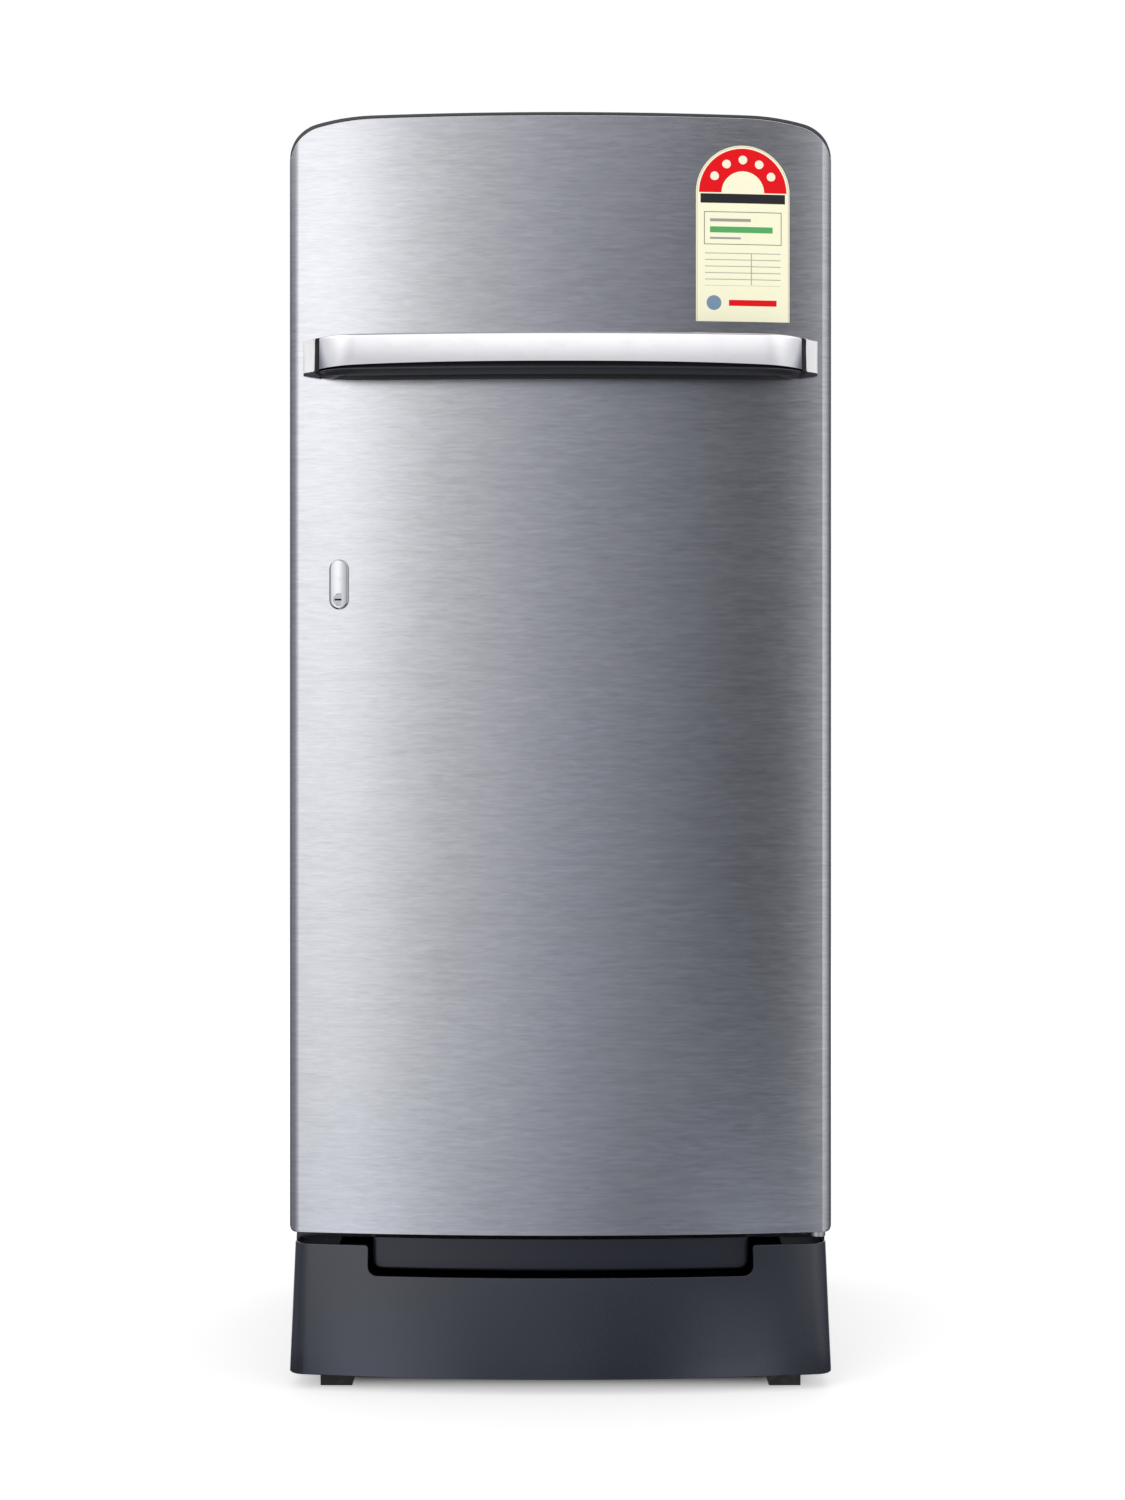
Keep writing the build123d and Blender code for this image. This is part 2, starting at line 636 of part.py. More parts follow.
def hinge_screw_shanks(spare=0.0):
    """The shanks of the hinge screws, which stay inside the plates."""
    shanks = Part()
    for x, y, z, up in hinge_screw_places():
        ends = sorted((z + up * spare, z - up * (HINGE_PLATE + spare)))
        shanks += rod_z(2.2 + spare / 3, x, y, tuple(ends))
    return shanks


def hinge_screws():
    """Pan-head screws that hold both hinge plates."""
    screws = hinge_screw_shanks()
    for x, y, z, up in hinge_screw_places():
        screws += rod_z(4.2, x, y, tuple(sorted((z, z + up * 2.4))))
    return screws


def top_hinge_cover():
    """Plastic cap over the top hinge plate."""
    outer = block((204, 269), (-206, -124), (CAB_TOP, 1271.5))
    outer = fillet(outer.edges().group_by(Axis.Z)[-1], 4.0)
    hollow = block((206, 268), (-207, -126), (CAB_TOP - 1, 1269.5))
    return outer - hollow


def freezer_box():
    """Aluminium evaporator box, open at the front and hung from the cabin's roof."""
    y = (FREEZER_FRONT, 215)
    outer = block((-FREEZER_HALF, FREEZER_HALF), y, FREEZER_Z)
    wall = 1.5
    inner_half = FREEZER_HALF - wall
    outer -= block(
        (-inner_half, inner_half), (y[0] - 1, y[1] - wall), (FREEZER_Z[0] + wall, FREEZER_Z[1] - wall)
    )
    for x in (-150, 150):
        for post_y in (-60, 180):
            outer += rod_z(6.0, x, post_y, (FREEZER_Z[1] - 0.5, CABIN_TOP))
    return outer


def freezer_front_frame():
    """Bezel of four trims round the ice compartment, with two ears that carry the flap."""
    mouth_z = (1065, 1199)
    frame = front_outline(214, 1051, 1208, 6.0, 6.0) - front_outline(194, *mouth_z, 4.0, 4.0)
    bezel = lay_back(frame, (FREEZER_FRONT - 8, FREEZER_FRONT))
    for z in ((mouth_z[0] - SAW_CUT, mouth_z[0]), (mouth_z[1], mouth_z[1] + SAW_CUT)):
        bezel -= block((-220, 220), (FREEZER_FRONT - 9, FREEZER_FRONT + 1), z)
    bezel += both_sides((192.0, 198.5), (-113, FREEZER_FRONT - 7), (FLAP_AXIS_Z - 7, FLAP_AXIS_Z + 7))
    for side in (-1, 1):
        x = tuple(sorted((side * 191.0, side * 197.5)))
        bezel -= rod_x(2.55, x, FLAP_AXIS_Y, FLAP_AXIS_Z)
    return bezel


def freezer_flap():
    """Hollow-looking flap with a round top edge, two pivots and a finger lip."""
    half = 5.4
    low = 1066.0
    x = (-FLAP_HALF, FLAP_HALF)
    flap = block(x, (FLAP_AXIS_Y - half, FLAP_AXIS_Y + half), (low, FLAP_AXIS_Z))
    flap += rod_x(half, x, FLAP_AXIS_Y, FLAP_AXIS_Z)
    flap += block((-60, 60), (FLAP_AXIS_Y - half - 6, FLAP_AXIS_Y - half), (low + 2, low + 8))
    return flap + rod_x(2.5, (-197.0, 197.0), FLAP_AXIS_Y, FLAP_AXIS_Z)


def chiller_tray():
    """Shallow pull-out tray under the ice compartment, hung by its rims."""
    y = (-94, 205)
    tray = block((-195, 195), y, TRAY_Z) - block((-193, 193), (-92, 203), (TRAY_Z[0] + 2, 1100))
    tray += both_sides((193.5, 206), y, (TRAY_Z[1] - 3, TRAY_Z[1]))
    return tray + block((-195, 195), (-100, -94), (TRAY_Z[1] - 12, TRAY_Z[1]))


def chiller_tray_rails():
    """A channel on each side wall that the tray's rims slide in."""
    rail = both_sides((199, CABIN_HALF), (-92, 210), (1030.0, 1047.0))
    return rail - both_sides((198, 206.5), (-93, 206), (TRAY_Z[1] - 3 - GAP, TRAY_Z[1] + GAP))


def shelf_glass(z):
    """One glass pane, rounded at its two back corners."""
    plan = Pos(0, (SHELF_FRONT + SHELF_BACK) / 2) * Rectangle(2 * SHELF_HALF, SHELF_BACK - SHELF_FRONT)
    plan = fillet(plan.vertices().group_by(Axis.Y)[-1], 22.0)
    return stand_up(plan, (z, z + GLASS))


def shelf_glass_upper():
    """Upper glass shelf."""
    return shelf_glass(UPPER_SHELF_Z)


def shelf_glass_lower():
    """Lower glass shelf."""
    return shelf_glass(LOWER_SHELF_Z)


def crisper_cover_glass():
    """Glass pane over the vegetable drawer."""
    return shelf_glass(HUMP_TOP)


def shelf_trims():
    """Plastic channel along the front and the back edge of each pane."""
    trims = Part()
    half = SHELF_HALF - 0.5
    for z in (UPPER_SHELF_Z, LOWER_SHELF_Z, HUMP_TOP):
        front = block((-half, half), (SHELF_FRONT - 4, SHELF_FRONT + 8), (z - 2, z + GLASS + 2))
        front -= both_sides((CABIN_HALF - 10, CABIN_HALF + 5), (SHELF_FRONT - 1, 0), (z - 3, z))
        trims += front - shelf_glass(z)
        back = block((25 - half, half - 25), (SHELF_BACK - 8, SHELF_BACK + 3), (z, z + GLASS + 6))
        trims += back - shelf_glass(z)
    return trims


def crisper():
    """Vegetable drawer with a rolled front lip."""
    y = (-92, 52)
    z = (CABIN_LOW + GAP, 385.0)
    plan = Pos(0, sum(y) / 2) * Rectangle(424, y[1] - y[0])
    outer = stand_up(fillet(plan.vertices(), 14.0), z)
    inner = Pos(0, sum(y) / 2) * Rectangle(419, y[1] - y[0] - 5)
    tub = outer - stand_up(fillet(inner.vertices(), 11.5), (z[0] + 2.5, z[1] + 1))
    return tub + block((-90, 90), (y[0] - 7, y[0] + 1), (z[1] - 12, z[1]))


def control_box():
    """Housing on the right wall for the thermostat and the lamp."""
    y = (-70, 60)
    z = (872, 962)
    box = block((BOX_FACE_X, CABIN_HALF), y, z)
    box = fillet(box.edges().filter_by(Axis.Z).group_by(Axis.X)[0], 6.0)
    box -= block((BOX_FACE_X + 2, CABIN_HALF - 2), (y[0] + 2, y[1] - 2), (z[0] + 2, z[1] - 2))
    return box - rod_x(3.05, (BOX_FACE_X - 1, BOX_FACE_X + 3), KNOB_Y, KNOB_Z)


def lamp_cover():
    """Clear cover in front of the control box."""
    y = (-102, -70)
    z = (884, 950)
    cover = block((192, CABIN_HALF), y, z)
    cover = fillet(cover.edges().filter_by(Axis.Z).group_by(Axis.Y)[0].group_by(Axis.X)[0], 8.0)
    return cover - block((194, CABIN_HALF - 2), (y[0] + 2, y[1] + 1), (z[0] + 2, z[1] - 2))


def thermostat_knob():
    """Round knob with grip ridges, bored for the defrost button."""
    face = BOX_FACE_X - GAP
    knob = rod_x(17.0, (face - 13, face), KNOB_Y, KNOB_Z)
    for turn in range(12):
        angle = math.radians(30 * turn)
        ridge_y = KNOB_Y + 17 * math.cos(angle)
        ridge_z = KNOB_Z + 17 * math.sin(angle)
        knob += rod_x(1.2, (face - 12, face - 1), ridge_y, ridge_z)
    knob += rod_x(3.0, (face - 1, face + 14), KNOB_Y, KNOB_Z)
    return knob - rod_x(7.3, (face - 20, face - 3), KNOB_Y, KNOB_Z)


def defrost_button():
    """Push button in the middle of the knob."""
    face = BOX_FACE_X - GAP
    return rod_x(7.0, (face - 15.5, face - 6.3), KNOB_Y, KNOB_Z)


def light_switch_body():
    """Housing of the lamp's door switch, with a sleeve for its plunger."""
    body = block((213, CABIN_HALF), (-204, -176), (PLUNGER_Z - 12, PLUNGER_Z + 12))
    return body - rod_y(3.8, PLUNGER_X, (-210, -180), PLUNGER_Z)


def light_switch_plunger():
    """Plunger that the closed door holds in."""
    return rod_y(3.5, PLUNGER_X, (-221.5, -190), PLUNGER_Z)


def compressor_shell():
    """Welded steel pot with mounting ears."""
    low = 167.0
    outer = rod_z(58.0, COMPRESSOR_X, COMPRESSOR_Y, (low, 312.0))
    outer = fillet(outer.edges(), 30.0)
    inner = rod_z(53.0, COMPRESSOR_X, COMPRESSOR_Y, (low + 5, 307.0))
    pot = outer - fillet(inner.edges(), 25.0)
    rim = rod_z(60.5, COMPRESSOR_X, COMPRESSOR_Y, (262.0, 266.0))
    rim -= rod_z(56.0, COMPRESSOR_X, COMPRESSOR_Y, (261.0, 267.0))
    ear_x = (COMPRESSOR_X - 92, COMPRESSOR_X + 92)
    ears = block(ear_x, (COMPRESSOR_Y - 52, COMPRESSOR_Y + 52), (low, low + 3))
    return pot + rim + (ears - rod_z(26.0, COMPRESSOR_X, COMPRESSOR_Y, (low - 1, low + 4)))


def grommet_places():
    """Middle of each rubber foot of the compressor."""
    return [(COMPRESSOR_X + i * 80, COMPRESSOR_Y + j * 42) for i in (-1, 1) for j in (-1, 1)]


def compressor_base():
    """Steel cross plate under the compressor."""
    half = CAB_HALF - STEEL
    plate = block((-half, half), (BAY_FRONT + 1, CAB_BACK - STEEL), (CAB_LOW, CAB_LOW + 2))
    return plate + block((-half, half), (CAB_BACK - STEEL - 2, CAB_BACK - STEEL), (CAB_LOW, CAB_LOW + 14))


def compressor_grommets():
    """Rubber feet between the plate and the pot."""
    feet = Part()
    for x, y in grommet_places():
        feet += rod_z(9.0, x, y, (CAB_LOW + 2, 167.0))
    return feet


def terminal_cover():
    """Cover over the compressor's terminals, with the gland for the supply cord."""
    x = (COMPRESSOR_X - 86, COMPRESSOR_X - 57)
    cover = block(x, (COMPRESSOR_Y - 22, COMPRESSOR_Y + 30), (196, 252))
    cover -= rod_z(58.05, COMPRESSOR_X, COMPRESSOR_Y, (190, 260))
    return cover + rod_y(6.0, x[0] + 10, (COMPRESSOR_Y + 29, COMPRESSOR_Y + 46), 212)


def evaporation_tray():
    """Shallow dish on the compressor that takes the defrost water."""
    x = (COMPRESSOR_X - 55, COMPRESSOR_X + 55)
    y = (COMPRESSOR_Y - 48, COMPRESSOR_Y + 48)
    dish = block(x, y, (312.0, 336.0))
    return dish - block((x[0] + 2, x[1] - 2), (y[0] + 2, y[1] - 2), (314.0, 337.0))


def tube(points, radius, bend):
    """A round tube along straight runs joined by arcs."""
    path = FilletPolyline(*points, radius=bend)
    start = Plane(origin=path @ 0, z_dir=path % 0)
    return sweep(start * Circle(radius), path=path)


def condenser_levels():
    """Height of each level run of the condenser, from the lowest up."""
    low, high = CONDENSER_Z
    pitch = (high - low) / (CONDENSER_RUNS - 1)
    return [low + pitch * run for run in range(CONDENSER_RUNS)]


def condenser_points():
    """Corners of the serpentine, from its lower inlet to its upper end."""
    points = [(CONDENSER_HALF, CONDENSER_Y, CONDENSER_Z[0] - 60)]
    side = 1
    for z in condenser_levels():
        points.append((side * CONDENSER_HALF, CONDENSER_Y, z))
        points.append((-side * CONDENSER_HALF, CONDENSER_Y, z))
        side = -side
    return points


def condenser_tube():
    """Serpentine tube behind the cabinet."""
    return tube(condenser_points(), TUBE_R, 22.0)


def condenser_wires():
    """Upright wires welded to both faces of the serpentine."""
    wires = Part()
    reach = CONDENSER_Y + TUBE_R + WIRE_R - 0.05
    count = int(2 * (CONDENSER_HALF - 30) / WIRE_PITCH)
    z = (CONDENSER_Z[0] - 14, CONDENSER_Z[1] + 14)
    for index in range(count + 1):
        x = (index - count / 2) * WIRE_PITCH
        y = reach if index % 2 else 2 * CONDENSER_Y - reach
        wires += rod_z(WIRE_R, x, y, z)
    return wires


def condenser_brackets():
    """Four clips that stand the condenser off the back."""
    levels = condenser_levels()
    clips = Part()
    for z in (levels[1], levels[-2]):
        for x in (-160, 160):
            clip = block((x - 8, x + 8), (CAB_BACK, CONDENSER_Y + 5), (z - 6, z + 6))
            clips += clip - rod_x(TUBE_R + 0.02, (x - 10, x + 10), CONDENSER_Y, z)
    return clips


def wall_spacers():
    """Two plastic stand-offs that keep the condenser clear of a wall."""
    spacers = Part()
    for x in (-236, 236):
        stem = block((x - 9, x + 9), (CAB_BACK, SPACER_BACK), (1120, 1144))
        spacers += fillet(stem.edges().filter_by(Axis.Y), 3.0)
    return spacers


def filter_drier():
    """Copper drier that stands in the machine bay."""
    body = rod_z(10.0, -150, 236, (190.0, 290.0))
    return fillet(body.edges(), 6.0)


def refrigerant_pipes():
    """Pipes from the compressor to the condenser, on to the drier, and back from the cabin."""
    bend = 12.0
    entry_z = CONDENSER_Z[0] - 60
    delivery = [
        (COMPRESSOR_X + 57, COMPRESSOR_Y + 20, 210),
        (COMPRESSOR_X + 100, COMPRESSOR_Y + 20, 210),
        (COMPRESSOR_X + 100, CONDENSER_Y, 210),
        (CONDENSER_HALF, CONDENSER_Y, 250),
        (CONDENSER_HALF, CONDENSER_Y, entry_z),
    ]
    charge = [
        (-150, 236, 190),
        (-150, 236, 172),
        (COMPRESSOR_X - 108, 236, 172),
        (COMPRESSOR_X - 108, 236, BAY_TOP - 1),
    ]
    suction = [
        (COMPRESSOR_X - 40, COMPRESSOR_Y - 41, 230),
        (COMPRESSOR_X - 70, COMPRESSOR_Y - 71, 230),
        (COMPRESSOR_X - 70, COMPRESSOR_Y - 71, BAY_TOP - 1),
    ]
    pipes = tube(delivery, TUBE_R, bend) + tube(charge, 2.0, 8.0) + tube(suction, 3.0, bend)
    return pipes - rod_z(58.0, COMPRESSOR_X, COMPRESSOR_Y, (180, 300))


def flared(half_top, half_low, face_y, back_y, bow_r, corner_r, z):
    """A bowed body that is wider at its foot."""
    low = Pos(0, 0, z[0]) * bowed_plan(half_low, face_y, back_y, bow_r, corner_r)
    high = Pos(0, 0, z[1]) * bowed_plan(half_top, face_y, back_y, bow_r, corner_r)
    return loft([low.face(), high.face()])


def drawer_front():
    """Thin bowed front of the base drawer, cut out in the middle of its upper edge."""
    z = (STAND_LOW, BASE_TOP)
    wall = FRONT_WALL
    outer = flared(
        BASE_HALF_TOP, BASE_HALF_LOW, BASE_FACE_Y, STAND_FRONT - 1.5, BASE_BOW_R, BASE_CORNER_R, z
    )
    inner = flared(
        BASE_HALF_TOP - wall,
        BASE_HALF_LOW - wall,
        BASE_FACE_Y + wall,
        STAND_FRONT + 5,
        BASE_BOW_R - wall,
        BASE_CORNER_R - wall,
        z,
    )
    cutout = Pos(0, CUTOUT_LOW + 50) * Rectangle(2 * CUTOUT_HALF, 100)
    cutout = fillet(cutout.vertices().group_by(Axis.Y)[0], CUTOUT_R)
    return outer - inner - lay_back(cutout, THROUGH_FACE)


def drawer_tray():
    """Dry-food drawer behind its front, joined to it by four bosses."""
    y = (-260.0, 120.0)
    z = (27.0 + GAP, 112.0)
    half = 238.0
    wall = 2.5
    tray = block((-half, half), y, z)
    tray -= block((-half + wall, half - wall), (y[0] + wall, y[1] - wall), (z[0] + wall, z[1] + 1))
    inset = FRONT_WALL + 0.12
    inside = bowed_plan(265, BASE_FACE_Y + inset, STAND_FRONT, BASE_BOW_R - inset, 5.0)
    for x in (-205, -125, 125, 205):
        boss = inside & (Pos(x, y[0] - 15) * Rectangle(12, 30))
        tray += stand_up(boss, (40, 95))
    return tray


def stand_frame():
    """Moulded stand under the cabinet, open at the front, with the drawer's runners."""
    z = (STAND_LOW, CAB_LOW)

    def body(inset, top):
        half_low = BASE_HALF_LOW - inset
        half_top = BASE_HALF_TOP - inset - 0.4
        y = (STAND_FRONT if inset == 0 else STAND_FRONT - 5, STAND_BACK - inset)
        middle_y = (y[0] + y[1]) / 2
        low = Pos(0, middle_y, z[0] if inset == 0 else z[0] - 0.01) * Rectangle(2 * half_low, y[1] - y[0])
        high = Pos(0, middle_y, top) * Rectangle(2 * half_top, y[1] - y[0])
        return loft([low.face(), high.face()])

    stand = body(0, z[1]) - body(STAND_WALL, z[1] - 6.0)
    runner_top = 27.0
    pad_top = runner_top - 3.2
    stand += both_sides((226, 271), (STAND_FRONT, 130), (pad_top, runner_top))
    stand += both_sides((205, 271), (STAND_FRONT, -200), (STAND_LOW, pad_top))
    stand += both_sides((205, 271), (240, 277), (STAND_LOW, pad_top))
    stand -= block((241, 280), (-250, -118), (CAB_LOW - HINGE_PLATE - 0.2, CAB_LOW + 1))
    for x, y, _, up in hinge_screw_places():
        if up < 0:
            stand -= rod_z(5.5, x, y, (CAB_LOW - 8, CAB_LOW))
    for slot in range(7):
        x = -150 + 50 * slot
        stand -= block((x - 17, x + 17), (260, 290), (60, 68)) + block((x - 17, x + 17), (260, 290), (80, 88))
    return stand


def stand_front_rail():
    """Set-back panel under the cabinet's front edge, seen through the drawer front's cut-out."""
    face_y = BASE_FACE_Y + RAIL_SET_BACK
    bow_r = BASE_BOW_R - RAIL_SET_BACK
    wall = 3.5
    outline = front_outline(RAIL_HALF, RAIL_Z[0], RAIL_Z[1], 10.0, 1.0)
    band = bowed_plan(230, face_y, STAND_FRONT, bow_r, 2.0)
    panel = stand_up(band - bowed_plan(230, face_y + wall, STAND_FRONT, bow_r - wall, 2.0), (100, 160))
    panel &= lay_back(outline, (-300, -240))
    web = stand_up(band & across((-RAIL_HALF, RAIL_HALF), (-300, STAND_FRONT)), (RAIL_Z[1] - 3.0, RAIL_Z[1]))
    return panel + web


def stand_feet():
    """Four blocks, tapered on their inner sides."""
    feet = Part()
    half = FOOT_SIDE / 2
    for side in (-1, 1):
        for front_y in (-244.0, 241.0):
            middle_y = front_y + half
            x = side * FOOT_X
            top = Pos(x, middle_y, STAND_LOW) * Rectangle(FOOT_SIDE, FOOT_SIDE)
            low = Pos(x + side * 1.5, middle_y, 0) * Rectangle(FOOT_SIDE - 3, FOOT_SIDE - 2)
            feet += loft([low.face(), top.face()])
    return feet


PARTS = [
    cabinet_shell,
    rear_panel,
    insulation_foam,
    inner_liner,
    compressor_deck,
    top_hinge_bracket,
    top_hinge_cover,
    bottom_hinge_bracket,
    hinge_screws,
    freezer_box,
    freezer_front_frame,
    chiller_tray_rails,
    shelf_glass_upper,
    shelf_glass_lower,
    crisper_cover_glass,
    shelf_trims,
    control_box,
    lamp_cover,
    light_switch_body,
    lock_strike,
    compressor_shell,
    compressor_base,
    compressor_grommets,
    terminal_cover,
    evaporation_tray,
    refrigerant_pipes,
    filter_drier,
    condenser_tube,
    condenser_wires,
    condenser_brackets,
    wall_spacers,
    stand_frame,
    stand_front_rail,
    stand_feet,
    door_skin,
    door_foam,
    door_top_cap,
    door_bottom_cap,
    door_liner,
    door_gasket,
    door_hinge_bushes,
    handle_bar,
    handle_grip,
    handle_end_caps,
    handle_bands,
    lock_escutcheon,
    efficiency_label,
    egg_rack,
    door_bins,
    bottle_bin,
    lock_cylinder,
    lock_cam,
    freezer_flap,
    chiller_tray,
    crisper,
    thermostat_knob,
    defrost_button,
    light_switch_plunger,
    drawer_front,
    drawer_tray,
]

os.makedirs("parts", exist_ok=True)
for make in PARTS:
    export_step(make(), f"parts/{make.__name__}.step")
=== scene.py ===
import logging
import math
from dataclasses import dataclass
from enum import Enum
from typing import Any, Dict, Optional, Sequence, Tuple, Union

import bpy
import numpy as np
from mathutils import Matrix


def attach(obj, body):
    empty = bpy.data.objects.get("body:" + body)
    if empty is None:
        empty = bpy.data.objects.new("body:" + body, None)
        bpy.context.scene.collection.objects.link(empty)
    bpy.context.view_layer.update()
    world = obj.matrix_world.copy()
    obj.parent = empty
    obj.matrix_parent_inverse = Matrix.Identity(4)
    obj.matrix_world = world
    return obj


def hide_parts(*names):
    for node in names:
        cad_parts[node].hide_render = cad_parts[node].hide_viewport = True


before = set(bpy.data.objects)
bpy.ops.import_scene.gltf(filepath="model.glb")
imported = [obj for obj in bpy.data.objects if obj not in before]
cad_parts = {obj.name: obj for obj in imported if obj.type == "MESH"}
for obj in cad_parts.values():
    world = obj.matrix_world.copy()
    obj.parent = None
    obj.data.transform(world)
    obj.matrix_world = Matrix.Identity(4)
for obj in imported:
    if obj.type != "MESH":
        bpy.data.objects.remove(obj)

LOG = logging.getLogger("refrigerator")
MM = 0.001
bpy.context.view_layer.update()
LEAST_RADIUS = 0.4
NO_LIMIT = 2000.0
SHARP = 38.0
CRISP = 50.0
WHITE = (1.0, 1.0, 1.0)

Colour = Tuple[float, float, float]
Place = Tuple[float, float, float]


def quarter(count: int) -> np.ndarray:
    """Evenly spaced angles from nought to a quarter turn."""
    return np.linspace(0, math.pi / 2, count)


class Form:
    """A closed mesh as arrays, before it becomes an object."""

    def __init__(self, points: np.ndarray, corners: np.ndarray, counts: np.ndarray) -> None:
        """Keep the arrays and turn the faces outwards.

        Args:
            points: one row of x, y, z for each vertex, in millimetres.
            corners: vertex numbers of every face, one face after another.
            counts: number of corners of each face.
        """
        self.points = points
        self.corners = corners
        self.counts = counts
        if self.volume() < 0:
            self.flip()

    def starts(self) -> np.ndarray:
        """Place of each face's first corner in the list of corners."""
        return np.concatenate([[0], np.cumsum(self.counts)[:-1]])

    def places(self) -> Tuple[np.ndarray, np.ndarray]:
        """Number of each corner's face, and the corner's place in it."""
        face = np.repeat(np.arange(len(self.counts)), self.counts)
        return face, np.arange(len(self.corners)) - self.starts()[face]

    def volume(self) -> float:
        """Signed volume: each face is a fan from its first corner, joined to the origin.

        Returns:
            The volume, below nought where the faces point inwards.
        """
        face, place = self.places()
        inner = np.nonzero((place > 0) & (place < self.counts[face] - 1))[0]
        first = self.points[self.corners[self.starts()[face[inner]]]]
        second = self.points[self.corners[inner]]
        third = self.points[self.corners[inner + 1]]
        return float(np.einsum("ij,ij->", first, np.cross(second, third)) / 6)

    def flip(self) -> None:
        """Reverse the corners of every face."""
        face, place = self.places()
        self.corners = self.corners[self.starts()[face] + self.counts[face] - 1 - place]

    def __add__(self, other: "Form") -> "Form":
        """Both forms as one mesh of separate shells.

        Args:
            other: the form to add.

        Returns:
            The mesh of both.
        """
        return Form(
            np.concatenate([self.points, other.points]),
            np.concatenate([self.corners, other.corners + len(self.points)]),
            np.concatenate([self.counts, other.counts]),
        )

    def mirrored(self) -> "Form":
        """Mirror image across the middle plane, x = 0."""
        return Form(self.points * np.array([-1.0, 1.0, 1.0]), self.corners.copy(), self.counts.copy())

    def both(self) -> "Form":
        """The form with its mirror image across the middle plane."""
        return self + self.mirrored()


class Wrap(Enum):
    """How the rings of a loft join."""

    CAPPED = "capped"
    LOOP = "loop"


def loft(rings: np.ndarray, wrap: Wrap = Wrap.CAPPED) -> Form:
    """Closed rings joined one after another by four-sided faces.

    Args:
        rings: array of rings, points and x, y, z; every ring has the same number of points.
        wrap: CAPPED closes the first and the last ring with a face, LOOP joins them.

    Returns:
        The closed form.
    """
    count, size = rings.shape[:2]
    index = np.arange(count * size).reshape(count, size)
    if wrap is Wrap.LOOP:
        low, high = index, np.roll(index, -1, axis=0)
    else:
        low, high = index[:-1], index[1:]
    quads = np.stack([low, np.roll(low, -1, axis=1), np.roll(high, -1, axis=1), high], axis=-1)
    corners = quads.reshape(-1)
    counts = np.full(quads.size // 4, 4)
    if wrap is Wrap.CAPPED:
        corners = np.concatenate([corners, index[0][::-1], index[-1]])
        counts = np.concatenate([counts, [size, size]])
    return Form(rings.reshape(-1, 3).astype(float), corners, counts)


def rect_rings(half: Tuple[float, float], corner: float, profile: np.ndarray, steps: int = 8) -> np.ndarray:
    """Rounded rectangles, one for each point of a profile.

    Each ring's half sizes are the outline's less the profile's inset, and its corner radius
    shrinks by the same inset.

    Args:
        half: the outline's two half sizes.
        corner: radius of the outline's corners.
        profile: rows of inset and height.
        steps: points on each corner.

    Returns:
        Rings around the origin, as across, up and height.
    """
    inset = profile[:, :1]
    radius = np.maximum(corner - inset, min(corner, LEAST_RADIUS))
    angle = np.concatenate([quarter(steps) + k * math.pi / 2 for k in range(4)])
    side_a = np.repeat([1, -1, -1, 1], steps)
    side_b = np.repeat([1, 1, -1, -1], steps)
    across = side_a * (half[0] - inset - radius) + radius * np.cos(angle)
    up = side_b * (half[1] - inset - radius) + radius * np.sin(angle)
    return np.stack([across, up, np.broadcast_to(profile[:, 1:], across.shape)], axis=-1)


def slab(low: Sequence[float], high: Sequence[float], corner: float, edge: float) -> Form:
    """A block with rounded upright corners, and rounded edges round its foot and its top.

    Args:
        low: lowest corner.
        high: highest corner.
        corner: radius of the four upright corners.
        edge: radius of the edges round the foot and the top.

    Returns:
        The closed form.
    """
    lows, highs = np.asarray(low, float), np.asarray(high, float)
    half, middle = (highs - lows) / 2, (highs + lows) / 2
    turn = quarter(6)
    inset, rise = edge * (1 - np.cos(turn)), edge * (1 - np.sin(turn))
    lower = np.stack([inset[::-1], rise[::-1] - half[2]], axis=1)
    upper = np.stack([inset, half[2] - rise], axis=1)
    rings = rect_rings((half[0], half[1]), corner, np.concatenate([lower, upper]))
    return loft(rings + middle)


def make_object(
    name: str, form: Form, material: bpy.types.Material, sharp: float = SHARP
) -> bpy.types.Object:
    """A mesh object from a form, shaded smooth with its sharp edges kept.

    Args:
        name: the object's name.
        form: its mesh.
        material: its finish.
        sharp: edges that turn by more degrees than this stay sharp.

    Returns:
        The object, linked into the scene.
    """
    mesh = bpy.data.meshes.new(name)
    mesh.vertices.add(len(form.points))
    mesh.vertices.foreach_set("co", (form.points * MM).astype(np.float32).ravel())
    mesh.loops.add(len(form.corners))
    mesh.loops.foreach_set("vertex_index", form.corners.astype(np.int32))
    mesh.polygons.add(len(form.counts))
    mesh.polygons.foreach_set("loop_start", form.starts().astype(np.int32))
    mesh.polygons.foreach_set("use_smooth", np.ones(len(form.counts), bool))
    mesh.update(calc_edges=True)
    mesh.validate()
    mesh.set_sharp_from_angle(angle=math.radians(sharp))
    mesh.materials.append(material)
    thing = bpy.data.objects.new(name, mesh)
    bpy.context.scene.collection.objects.link(thing)
    return thing


